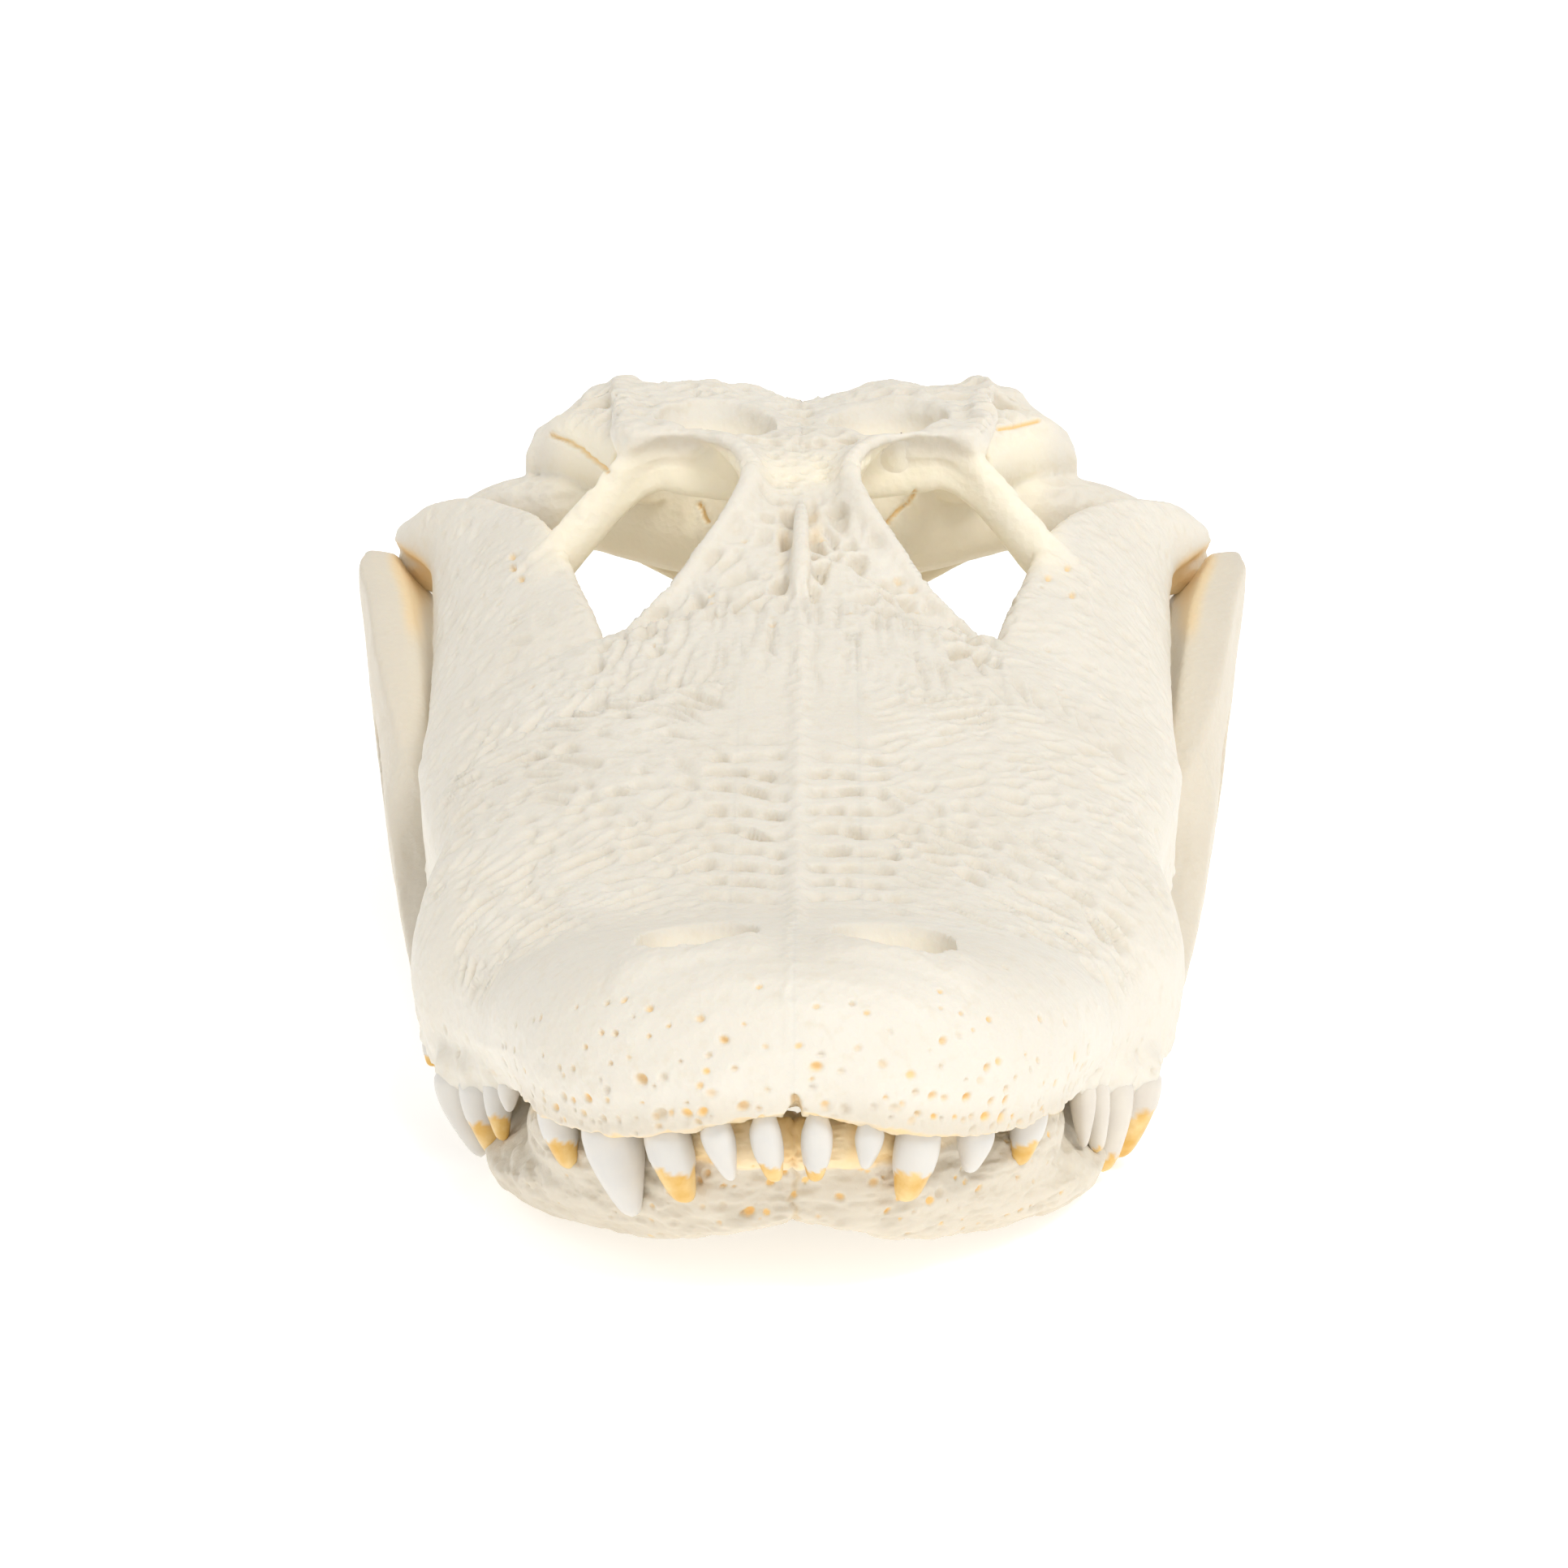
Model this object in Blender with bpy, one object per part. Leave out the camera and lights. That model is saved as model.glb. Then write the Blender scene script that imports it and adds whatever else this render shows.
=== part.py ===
"""Skull of a large American alligator with its lower jaw closed, as a still, life-size model.

Shapes are worked out in units of one hundredth of the skull's length, the way skulls are
compared. x runs across the skull, y from the snout tip backwards and z up from the edge of the
front tooth row. to_world turns a place in those units into metres, with the floor at zero and
the model's middle over the origin.
"""

import math
import random

import bmesh
import bpy
import numpy as np
from mathutils import Vector
from mathutils.bvhtree import BVHTree

# Driving sizes
SKULL_LENGTH = 0.460  # metres, from the snout tip to the back edge of the skull table
UNIT = SKULL_LENGTH / 100.0
GAP = 0.0003 / UNIT  # what two touching bones keep between them, in units
FLOOR_Z = -10.5  # the flats under the lower jaw, in units
FRONT_Y = 0.3
REAR_Y = 119.4  # the back ends of the lower jaw, in units
MIDDLE_Y = (FRONT_Y + REAR_Y) / 2.0
FAR = 60.0  # a length beyond every surface, for cutting shapes
SEED = 7

# The snout, as (y, value) pairs
JAW_HALF_WIDTH = (
    (0.3, 4.2), (1.2, 6.4), (2.5, 8.8), (4.0, 10.6), (7.0, 13.0), (10.0, 14.3), (14.0, 15.2),
    (18.0, 15.8), (21.0, 17.1), (25.0, 19.5), (29.0, 21.5), (33.0, 22.2), (37.0, 22.1),
    (43.0, 21.7), (50.0, 22.8), (60.0, 24.4), (66.0, 25.0),
)
TOOTH_EDGE_Z = (
    (0.3, 0.6), (0.9, 0.1), (2.0, -0.5), (3.0, -0.9), (5.5, -1.4), (8.0, -1.6), (12.0, -2.1),
    (16.5, -3.0), (21.0, -4.5), (24.5, -5.3), (28.0, -5.4), (33.0, -5.0), (40.0, -3.9),
    (47.0, -3.2), (57.0, -3.5), (63.0, -2.7), (68.0, -1.5),
)
SNOUT_TOP_Z = (
    (0.3, 4.4), (1.2, 6.1), (2.5, 7.3), (4.5, 8.0), (6.5, 8.2), (10.0, 7.8), (16.5, 6.6),
    (21.0, 6.4), (27.0, 7.0), (35.0, 8.6), (45.0, 11.0), (55.0, 13.8), (61.0, 15.2), (64.0, 12.0),
)
WIDEST_Z = (
    (0.3, 1.6), (10.0, 0.8), (20.0, -1.4), (28.0, -2.2), (36.0, -0.4), (45.0, 1.6), (62.0, 3.2),
)
ROUNDNESS = (
    (0.3, 2.2), (8.0, 2.5), (20.0, 2.8), (30.0, 2.7), (45.0, 2.1), (55.0, 1.8), (62.0, 1.6),
)
PALATE_RISE = ((0.3, 0.3), (3.0, 0.9), (7.0, 3.5), (66.0, 3.5))
WALL_SWELL = ((9.0, 0.0), (12.0, 0.3), (15.0, 0.9), (18.0, 1.2), (21.0, 0.8), (25.0, 0.0))
RIDGE_WIDTH = 2.7
SNOUT_STATIONS = (
    0.3, 1.2, 2.5, 4.0, 6.0, 8.5, 11.0, 14.0, 17.0, 19.5, 22.0, 25.0, 28.0, 31.5, 35.0, 39.0,
    43.0, 47.0, 51.5, 56.0, 60.0, 61.6, 63.4,
)
SNOUT_ARC_STEPS = 18

# The brow, between and in front of the eye sockets
BROW_HALF_WIDTH = (
    (56.0, 13.2), (60.0, 12.9), (62.0, 12.3), (65.0, 8.8), (68.0, 6.4), (71.0, 4.3), (73.0, 3.8),
    (75.5, 4.7), (77.5, 6.4), (79.2, 9.0),
)
BROW_RIM_Z = (
    (56.0, 10.6), (60.0, 12.1), (62.0, 12.4), (65.0, 14.8), (68.0, 17.5), (71.0, 20.2),
    (73.0, 21.3), (75.5, 22.4), (77.5, 22.9), (79.2, 23.0),
)
BROW_MIDDLE_Z = (
    (56.0, 13.8), (60.0, 15.0), (64.0, 16.3), (68.0, 17.7), (71.0, 19.2), (75.5, 21.2), (79.2, 22.5),
)
BROW_UNDER_Z = (
    (56.0, 5.0), (62.0, 7.0), (65.0, 11.0), (68.0, 14.6), (71.0, 17.0), (75.0, 18.8), (79.2, 19.2),
)
BROW_STATIONS = (56.0, 59.0, 62.0, 63.5, 65.0, 66.5, 68.0, 69.5, 71.0, 73.0, 75.0, 76.5, 78.0, 79.2)

# The cheek arch: its upper edge, its outer lower edge, its thickness and its outward bulge
CHEEK_TOP_X = (
    (52.0, 12.0), (62.0, 13.2), (66.0, 14.2), (71.0, 15.4), (79.0, 17.4), (84.0, 19.0),
    (92.0, 22.6), (98.0, 27.0), (102.6, 29.0),
)
CHEEK_TOP_Z = (
    (52.0, 8.5), (62.0, 12.2), (66.0, 13.6), (71.0, 14.4), (79.0, 16.0), (84.0, 16.3), (92.0, 16.1),
    (98.0, 14.7), (102.6, 12.6),
)
CHEEK_LOW_X = (
    (52.0, 23.2), (62.0, 24.6), (75.0, 25.2), (90.0, 26.3), (95.0, 26.9), (98.5, 28.6), (102.6, 30.2),
)
CHEEK_LOW_Z = (
    (52.0, 1.6), (62.0, 3.0), (75.0, 5.2), (90.0, 8.6), (95.0, 9.9), (98.5, 10.5), (102.6, 10.6),
)
CHEEK_THICKNESS = ((52.0, 3.4), (62.0, 3.0), (75.0, 2.5), (90.0, 2.6), (98.0, 3.2), (102.6, 2.6))
CHEEK_BULGE = ((52.0, 1.8), (66.0, 1.5), (80.0, 1.2), (102.6, 0.6))
CHEEK_STATIONS = (52.0, 56.0, 60.0, 64.0, 68.0, 72.0, 76.0, 80.0, 84.0, 88.0, 92.0, 95.5, 99.0, 102.6)

# The skull table over the braincase; across it, (share of the half width, share of the sag)
TABLE_HALF_WIDTH = ((78.4, 11.6), (80.0, 12.6), (90.0, 13.2), (98.0, 13.8), (100.0, 13.2))
TABLE_TOP_Z = ((78.4, 22.9), (80.0, 23.2), (90.0, 23.5), (98.0, 23.8), (100.0, 23.6))
TABLE_SAG = ((78.4, 0.6), (90.0, 1.0), (100.0, 1.8))
TABLE_UNDER_Z = 19.6
TABLE_STATIONS = (78.4, 80.0, 84.0, 88.0, 92.0, 96.0, 98.5, 100.0)
TABLE_ACROSS = ((0.0, 1.0), (0.2, 0.6), (0.45, 0.05), (0.72, 0.25), (1.0, 0.0))

# The right half of the lower jaw, seen in cross-section
RAMUS_TOP_X = (
    (3.8, 2.4), (5.0, 4.6), (8.0, 7.0), (12.0, 8.6), (16.0, 9.6), (20.0, 10.8), (25.0, 13.5),
    (30.0, 16.0), (36.0, 17.0), (45.0, 16.9), (55.0, 18.7), (62.0, 19.8), (67.0, 22.0),
    (72.0, 25.6), (78.0, 27.2), (84.0, 28.3), (90.0, 29.3), (101.0, 31.2), (104.0, 31.2), (108.0, 29.6),
)
RAMUS_TOP_Z = (
    (3.8, -2.5), (8.0, -2.8), (12.0, -3.3), (16.0, -4.0), (20.0, -5.1), (26.0, -6.0), (33.0, -5.7),
    (40.0, -4.5), (47.0, -3.8), (57.0, -4.1), (64.0, -3.3), (67.5, -1.8), (72.0, 2.6), (78.0, 5.6),
    (84.0, 7.4), (90.0, 8.6), (101.0, 9.4), (104.0, 8.2), (108.0, 5.0),
)
RAMUS_SHELF = (
    (3.8, 0.9), (5.0, 1.3), (10.0, 1.7), (60.0, 1.7), (66.0, 1.5), (72.0, 1.2), (84.0, 1.6), (96.0, 1.6),
    (101.0, 1.1), (108.0, 0.8),
)
RAMUS_WIDE_X = (
    (3.8, 4.4), (5.0, 6.6), (6.5, 8.6), (8.0, 10.2), (10.0, 12.2), (14.0, 15.0), (18.0, 16.6),
    (20.6, 17.1), (23.0, 17.4), (25.0, 17.6), (30.0, 18.5), (36.0, 20.4), (45.0, 22.9),
    (55.0, 24.8), (62.0, 26.1), (70.0, 27.7), (80.0, 29.4), (90.0, 30.9), (101.0, 32.3),
    (104.0, 32.2), (108.0, 30.6),
)
RAMUS_WIDE_Z = (
    (3.8, -4.2), (6.0, -5.3), (10.0, -6.4), (15.0, -7.4), (20.0, -8.2), (30.0, -8.4), (45.0, -7.9),
    (55.0, -7.3), (62.0, -5.4), (70.0, -1.6), (80.0, 1.0), (90.0, 3.5), (101.0, 6.4), (108.0, 2.6),
)
RAMUS_BASE_X = (
    (3.8, 2.6), (5.0, 4.6), (8.0, 7.4), (12.0, 10.4), (16.0, 13.0), (20.0, 14.6), (25.0, 15.6),
    (30.0, 16.4), (40.0, 19.4), (50.0, 22.0), (60.0, 24.0), (70.0, 25.6), (80.0, 27.0),
    (90.0, 28.6), (100.0, 29.4), (108.0, 28.6),
)
RAMUS_BASE_Z = (
    (3.8, -6.2), (5.0, -7.1), (8.0, -8.2), (12.0, -9.1), (16.0, -9.8), (22.0, FLOOR_Z),
    (74.0, FLOOR_Z), (80.0, -10.2), (90.0, -8.4), (100.0, -5.2), (108.0, -1.2),
)
RAMUS_INNER_X = (
    (3.8, -0.8), (16.4, -0.8), (19.0, 4.6), (22.0, 8.2), (25.0, 10.8), (30.0, 12.8), (36.0, 14.2),
    (45.0, 15.0), (55.0, 17.4), (62.0, 19.2), (70.0, 22.2), (80.0, 24.2), (90.0, 25.8),
    (101.0, 27.2), (108.0, 27.4),
)
RAMUS_INNER_RISE = ((3.8, 0.95), (14.0, 0.9), (19.0, 0.75), (108.0, 0.75))
RAMUS_STATIONS = (
    3.8, 4.6, 5.8, 7.5, 10.0, 13.0, 16.4, 18.0, 20.0, 23.0, 26.5, 30.0, 35.0, 40.0, 46.0, 52.0,
    58.0, 63.0, 67.0, 69.5, 72.0, 75.0, 79.0, 84.0, 90.0, 96.0, 101.0, 104.0, 108.0,
)
WINDOW_CENTRE = (81.0, -0.6)
WINDOW_HALF_LENGTH = 6.6
WINDOW_HALF_HEIGHT = 2.7
WINDOW_TILT = 1.0

# Teeth: front ones as (x, y, length, radius), rear ones as (length, radius) at places along the jaw
ROOT_DEPTH = 2.0
TOOTH_SIDES = 6
TOOTH_LEVELS = ((0.0, 1.0), (0.5, 0.84), (0.85, 0.46), (1.0, 0.14))
FRONT_TEETH = {
    "right": (
        (1.2, 1.4, 2.5, 0.78), (3.7, 1.7, 2.0, 0.66), (6.2, 2.7, 3.6, 1.2), (9.3, 4.9, 2.4, 1.1),
        (12.0, 9.6, 3.2, 1.05),
    ),
    "left": (
        (1.2, 1.4, 2.7, 0.8), (3.35, 1.6, 2.5, 0.68), (6.1, 2.7, 3.5, 1.25), (8.9, 4.7, 4.8, 1.45),
        (11.8, 9.4, 2.9, 1.0),
    ),
}
REAR_PLACES = (
    18.6, 20.6, 22.7, 25.4, 28.8, 32.4, 35.6, 38.6, 41.8, 45.4, 49.2, 53.2, 57.0, 60.8, 64.2,
)
REAR_TEETH = {
    "right": (
        (3.0, 0.65), (3.5, 0.68), (4.0, 1.0), (4.8, 1.3), (3.6, 1.2), (2.2, 0.8), (1.8, 0.7),
        (1.8, 0.7), (2.1, 0.8), (2.3, 0.95), (2.2, 1.0), (1.9, 0.95), (1.6, 0.85), (1.3, 0.8),
        (1.0, 0.7),
    ),
    "left": (
        (1.4, 0.6), (2.6, 0.65), (3.7, 1.0), (4.3, 1.25), (3.9, 1.2), (2.0, 0.78), (1.9, 0.7),
        (1.7, 0.7), (2.2, 0.82), (2.2, 0.95), (2.3, 1.0), (1.8, 0.95), (1.5, 0.85), (1.3, 0.8),
        (1.1, 0.7),
    ),
}
LOWER_PLACES = (
    6.0, 8.2, 10.6, 13.2, 16.6, 19.6, 22.6, 25.4, 28.2, 31.0, 34.0, 37.0, 40.2, 43.6, 47.0, 50.4,
    54.0, 57.6,
)
LOWER_LARGE_TEETH = (0, 3, 12)

# Where the bones meet, in units
PREMAXILLA_BACK_Y = 16.6
NASAL_HALF_WIDTH = 3.6
NASAL_FLOOR_Z = 4.5
NASAL_BACK_Y = 56.0
FACE_BACK_Y = 50.0
CHEEK_FLOOR_Z = 3.0
MAXILLA_BACK_Y = 70.6
PALATINE_HALF_WIDTH = 4.7
PALATINE_TOP_Z = 4.3
PALATINE_FRONT_Y = 54.0
PALATINE_BACK_Y = 79.0
BROW_BACK_Y = 77.4
SOCKET_SIDE_X = 10.6
ROOF_FLOOR_Z = 17.2
BRAINCASE_HALF_WIDTH = 7.2
CHEEK_SEAM = (
    (12.7, FACE_BACK_Y), (12.4, 61.0), (SOCKET_SIDE_X, 65.5), (SOCKET_SIDE_X, 79.5), (17.5, 90.5),
    (22.5, 94.0), (FAR, 94.0),
)
LOWER_JAW_SPLIT_Y = 72.0

# A place inside each bone of the upper skull
MIDDLE_HEARTS = {
    "nasals": (1.0, 30.0, 6.0),
    "frontal": (0.5, 70.0, 17.8),
    "palatines": (0.5, 70.0, 2.0),
    "skull_table": (0.5, 96.0, 21.0),
    "braincase": (0.5, 90.0, 12.0),
    "pterygoids": (0.5, 88.0, 1.2),
}
SIDE_HEARTS = {
    "premaxilla": (12.0, 10.0, 3.0),
    "maxilla": (12.0, 30.0, 2.0),
    "jugal": (19.5, 55.0, 7.0),
    "quadrate": (15.0, 94.4, 15.0),
}

# Colours and finish
IVORY = (0.80, 0.75, 0.64)
PALE_IVORY = (0.83, 0.79, 0.70)
BONE_ROUGHNESS = 0.55
SHARP_DEGREES = 50.0


def to_world(point):
    """A place in skull units as a place in metres."""
    x, y, z = point
    return Vector((x * UNIT, (y - MIDDLE_Y) * UNIT, (z - FLOOR_Z) * UNIT))


def at(pairs, place):
    """Value at a place on a smooth curve through (place, value) pairs, with no overshoot."""
    places, values = np.array(pairs, float).T
    place = float(np.clip(place, places[0], places[-1]))
    steps = np.diff(places)
    rises = np.diff(values) / steps
    slopes = np.concatenate(([rises[0]], np.zeros(len(rises) - 1), [rises[-1]]))
    for index in range(1, len(rises)):
        before, after = rises[index - 1], rises[index]
        if before * after > 0.0:
            slopes[index] = 2.0 * before * after / (before + after)
    index = min(int(np.searchsorted(places, place, side="right")) - 1, len(steps) - 1)
    width = steps[index]
    t = (place - places[index]) / width
    return float(
        values[index] * (1 + 2 * t) * (1 - t) ** 2
        + slopes[index] * width * t * (1 - t) ** 2
        + values[index + 1] * t * t * (3 - 2 * t)
        + slopes[index + 1] * width * t * t * (t - 1)
    )


def spline(points, count):
    """Evenly spaced rows of numbers along a smooth open curve through the given rows."""
    points = np.array(points, float)
    lengths = np.linalg.norm(np.diff(points[:, :3], axis=0), axis=1)
    places = np.concatenate(([0.0], np.cumsum(lengths)))
    wanted = np.linspace(0.0, places[-1], count)
    columns = [[at(list(zip(places, column)), place) for place in wanted] for column in points.T]
    return np.array(columns).T


def new_object(name, mesh):
    """An object in the scene from a bmesh, which is freed."""
    data = bpy.data.meshes.new(name)
    mesh.to_mesh(data)
    mesh.free()
    made = bpy.data.objects.new(name, data)
    bpy.context.scene.collection.objects.link(made)
    return made


def loft(name, rings):
    """A closed object skinned over rings that have equally many points."""
    mesh = bmesh.new()
    layers = [[mesh.verts.new(to_world(point)) for point in ring] for ring in rings]
    count = len(rings[0])
    for lower, upper in zip(layers, layers[1:]):
        for index in range(count):
            following = (index + 1) % count
            mesh.faces.new((lower[index], lower[following], upper[following], upper[index]))
    mesh.faces.new(tuple(reversed(layers[0])))
    mesh.faces.new(tuple(layers[-1]))
    bmesh.ops.triangulate(mesh, faces=mesh.faces[:])
    if mesh.calc_volume(signed=True) < 0.0:
        bmesh.ops.reverse_faces(mesh, faces=mesh.faces[:])
    return new_object(name, mesh)


def rounded(angle, power):
    """Cosine and sine of an angle on a circle squared up by a power above two."""
    right, rise = math.cos(angle), math.sin(angle)
    return (
        math.copysign(abs(right) ** (2.0 / power), right),
        math.copysign(abs(rise) ** (2.0 / power), rise),
    )


def bar(name, stations, sides=10, power=2.0, up=(0.0, 0.0, 1.0)):
    """A rounded bar along a smooth path of (x, y, z, width, height) stations."""
    path = spline(stations, len(stations) + 3)
    rings = []
    for index, (x, y, z, width, height) in enumerate(path):
        ahead = Vector(path[min(index + 1, len(path) - 1)][:3])
        behind = Vector(path[max(index - 1, 0)][:3])
        along = (ahead - behind).normalized()
        across = along.cross(Vector(up)).normalized()
        over = across.cross(along)
        ring = []
        for side in range(sides):
            right, rise = rounded(2.0 * math.pi * (side + 0.5) / sides, power)
            ring.append(Vector((x, y, z)) + across * right * width / 2.0 + over * rise * height / 2.0)
        rings.append(ring)
    return loft(name, rings)


def prism(name, outline, low, high, axis="Z"):
    """A flat outline pushed through from low to high along one axis, for plates and for cutting."""
    placed = {
        "X": lambda a, b, depth: (depth, a, b),
        "Y": lambda a, b, depth: (a, depth, b),
        "Z": lambda a, b, depth: (a, b, depth),
    }[axis]
    return loft(name, [[placed(a, b, depth) for a, b in outline] for depth in (low, high)])


def box(name, low, high):
    """A block between two corners, for cutting."""
    outline = ((low[0], low[1]), (high[0], low[1]), (high[0], high[1]), (low[0], high[1]))
    return prism(name, outline, low[2], high[2])


def mirror_copy(source, name):
    """A copy of an object on the other side of the midline."""
    mesh = bmesh.new()
    mesh.from_mesh(source.data)
    for vertex in mesh.verts:
        vertex.co.x = -vertex.co.x
    bmesh.ops.reverse_faces(mesh, faces=mesh.faces[:])
    return new_object(name, mesh)


def both_sides(piece):
    """A piece and its mirror image."""
    return [piece, mirror_copy(piece, piece.name + "_other")]


def remove(objects):
    for thing in objects:
        bpy.data.objects.remove(thing, do_unlink=True)


def combine(base, others, operation):
    """Join the others to the base, or cut it by them, and leave only the base."""
    group = bpy.data.collections.new("group")
    bpy.context.scene.collection.children.link(group)
    for other in others:
        group.objects.link(other)
    modifier = base.modifiers.new(operation.lower(), "BOOLEAN")
    modifier.operation = operation
    modifier.operand_type = "COLLECTION"
    modifier.collection = group
    modifier.solver = "EXACT"
    evaluated = base.evaluated_get(bpy.context.evaluated_depsgraph_get())
    result = bpy.data.meshes.new_from_object(evaluated)
    base.modifiers.clear()
    base.data = result
    remove(others)
    bpy.data.collections.remove(group)
    return base


def snout():
    """The solid snout, from its blunt tip to the front of the eye sockets."""
    rings = []
    for y in SNOUT_STATIONS:
        half = at(JAW_HALF_WIDTH, y)
        wall = half + at(WALL_SWELL, y)
        edge = at(TOOTH_EDGE_Z, y)
        top = at(SNOUT_TOP_Z, y)
        widest = max(at(WIDEST_Z, y), edge + 0.8)
        palate = edge + at(PALATE_RISE, y)
        ridge = min(RIDGE_WIDTH, half * 0.45)
        ring = [(half - 0.5, y, edge)]
        for step in range(SNOUT_ARC_STEPS + 1):
            across, rise = rounded(math.pi * step / SNOUT_ARC_STEPS, at(ROUNDNESS, y))
            ring.append((wall * across, y, widest + (top - widest) * abs(rise)))
        ring += [(0.5 - half, y, edge), (ridge - half, y, edge + 0.2), (ridge * 1.5 - half, y, palate)]
        ring.append((0.0, y, palate + 0.3))
        ring += [(half - ridge * 1.5, y, palate), (half - ridge, y, edge + 0.2)]
        rings.append(ring)
    return loft("snout", rings)


def rear_tooth_ridges():
    """The tooth-bearing edges that run on behind the solid snout."""
    stations = []
    for y in (58.0, 62.0, 65.5):
        stations.append((at(JAW_HALF_WIDTH, y) - 2.0, y, at(TOOTH_EDGE_Z, y) + 2.2, 3.0, 4.4))
    stations.append((23.0, 69.5, 2.8, 2.4, 2.6))
    return both_sides(bar("tooth_ridge", stations, sides=8, power=2.6))


def brow():
    """The bar between the eye sockets, with raised rims, widening into the snout."""
    rings = []
    for y in BROW_STATIONS:
        half = at(BROW_HALF_WIDTH, y)
        rim = at(BROW_RIM_Z, y)
        middle = at(BROW_MIDDLE_Z, y)
        under = at(BROW_UNDER_Z, y)
        right = [
            (0.0, y, middle),
            (half * 0.45, y, middle * 0.75 + rim * 0.25 - 0.1),
            (half * 0.8, y, rim + 0.1),
            (half, y, rim - 0.4),
            (half * 0.94, y, rim * 0.6 + under * 0.4),
            (half * 0.62, y, under + 0.4),
        ]
        left = [(-x, y, z) for x, y, z in reversed(right[1:])]
        rings.append(right + [(0.0, y, under)] + left)
    return loft("brow", rings)


def crest():
    """The narrow ridge that stands up along the middle of the brow."""
    stops = (
        (0.05, 60.4, 14.6, 2.0, 1.6), (0.05, 63.0, 16.0, 1.6, 2.2), (0.0, 66.0, 17.2, 1.1, 2.4),
        (0.0, 69.0, 18.4, 0.8, 2.0), (0.0, 71.2, 19.0, 0.6, 1.0),
    )
    return bar("crest", stops, sides=6)


def cheek_arches():
    """The slanting plates outside the eye sockets, back to the jaw joints."""
    rings = []
    for y in CHEEK_STATIONS:
        top = Vector((at(CHEEK_TOP_X, y), y, at(CHEEK_TOP_Z, y)))
        low = Vector((at(CHEEK_LOW_X, y), y, at(CHEEK_LOW_Z, y)))
        down = (low - top).normalized()
        out = Vector((-down.z, 0.0, down.x))
        thickness = at(CHEEK_THICKNESS, y)
        bulge = at(CHEEK_BULGE, y)
        rings.append([
            top,
            top.lerp(low, 0.25) + out * bulge * 0.75,
            top.lerp(low, 0.55) + out * bulge,
            top.lerp(low, 0.85) + out * bulge * 0.6,
            low,
            low - out * thickness * 0.6 + down * 0.3,
            low - out * thickness - down * 0.6,
            top.lerp(low, 0.55) - out * (thickness - bulge),
            top.lerp(low, 0.12) - out * thickness * 0.9,
            top - out * thickness * 0.4 - down * 0.3,
        ])
    return both_sides(loft("cheek", rings))


def skull_table():
    """The flat roof over the braincase, a little sunken along its middle."""
    rings = []
    for y in TABLE_STATIONS:
        half = at(TABLE_HALF_WIDTH, y)
        top = at(TABLE_TOP_Z, y)
        sag = at(TABLE_SAG, y)
        right = [(half * share, y, top - sag * drop) for share, drop in TABLE_ACROSS]
        right += [(half + 0.1, y, top - 1.2), (half - 0.6, y, TABLE_UNDER_Z)]
        rings.append(right + [(-x, y, z) for x, y, z in reversed(right[1:])])
    return loft("table", rings)


def socket_bars():
    """The beam behind each eye socket, which turns down as a bar to the cheek."""
    stations = (
        (2.5, 79.6, 20.2, 4.8, 4.0), (7.1, 79.8, 20.6, 4.6, 3.6), (9.2, 79.7, 20.7, 4.0, 3.4),
        (10.9, 79.5, 20.2, 3.2, 3.0), (12.4, 79.2, 19.1, 2.6, 2.8), (14.4, 78.2, 17.0, 2.2, 2.6),
        (16.2, 77.2, 15.1, 2.3, 2.6), (17.6, 76.5, 13.5, 2.7, 2.6), (18.7, 76.0, 12.0, 3.2, 2.8),
    )
    return both_sides(bar("socket_bar", stations, sides=8, up=(0.0, 1.0, 0.0)))


def occiput():
    """The plate at the back of the skull, out to the wings beside the ear region."""
    half = (
        (0.0, 21.8), (3.4, 22.4), (6.0, 23.0), (13.6, 23.5), (15.5, 22.6), (17.0, 21.2), (19.3, 19.6),
        (19.9, 18.4), (20.0, 16.4), (16.0, 12.6), (9.0, 9.0), (0.0, 6.6),
    )
    outline = half + tuple((-x, z) for x, z in reversed(half[1:-1]))
    wing = (
        (10.5, 86.5, 19.6, 6.0, 6.0), (13.0, 91.0, 19.4, 5.0, 6.4), (16.0, 95.2, 18.9, 4.0, 6.0),
        (18.4, 98.0, 17.9, 3.4, 4.6),
    )
    return [prism("occiput", outline, 96.4, 100.2, axis="Y")] + both_sides(bar("wing", wing, sides=8))


def braincase():
    """The box behind the eye sockets, its stem down to the palate and the neck joint's knob."""
    middle = (
        (0.0, 76.4, 17.6, 3.4, 4.0), (0.0, 79.0, 16.4, 7.4, 9.0), (0.0, 84.0, 14.6, 10.4, 15.0),
        (0.0, 90.0, 13.6, 11.6, 17.0), (0.0, 96.0, 13.8, 13.0, 16.0), (0.0, 100.4, 14.4, 12.0, 13.0),
    )
    stem = ((0.0, 92.6, 9.0, 6.4, 8.0), (0.0, 92.8, 4.6, 6.2, 7.4), (0.0, 92.4, 0.4, 8.0, 5.0))
    knob = ((0.0, 98.0, 10.6, 5.4, 5.4), (0.0, 101.6, 10.8, 4.8, 4.8), (0.0, 103.2, 10.9, 3.0, 3.0))
    return [
        bar("box", middle, sides=12, power=2.6),
        bar("stem", stem, sides=8, power=2.6, up=(0.0, 1.0, 0.0)),
        bar("knob", knob),
    ]


def quadrates():
    """The struts that run out and back from the braincase to the jaw joints."""
    stations = (
        (3.4, 88.0, 15.4, 7.0, 9.4), (9.0, 90.8, 15.2, 7.0, 8.2), (15.0, 94.8, 14.8, 8.0, 5.6),
        (20.6, 99.0, 13.4, 9.6, 5.6), (24.8, 103.4, 9.8, 10.6, 6.0), (25.8, 105.6, 8.9, 9.6, 4.4),
    )
    return both_sides(bar("quadrate", stations, power=2.4))


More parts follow.
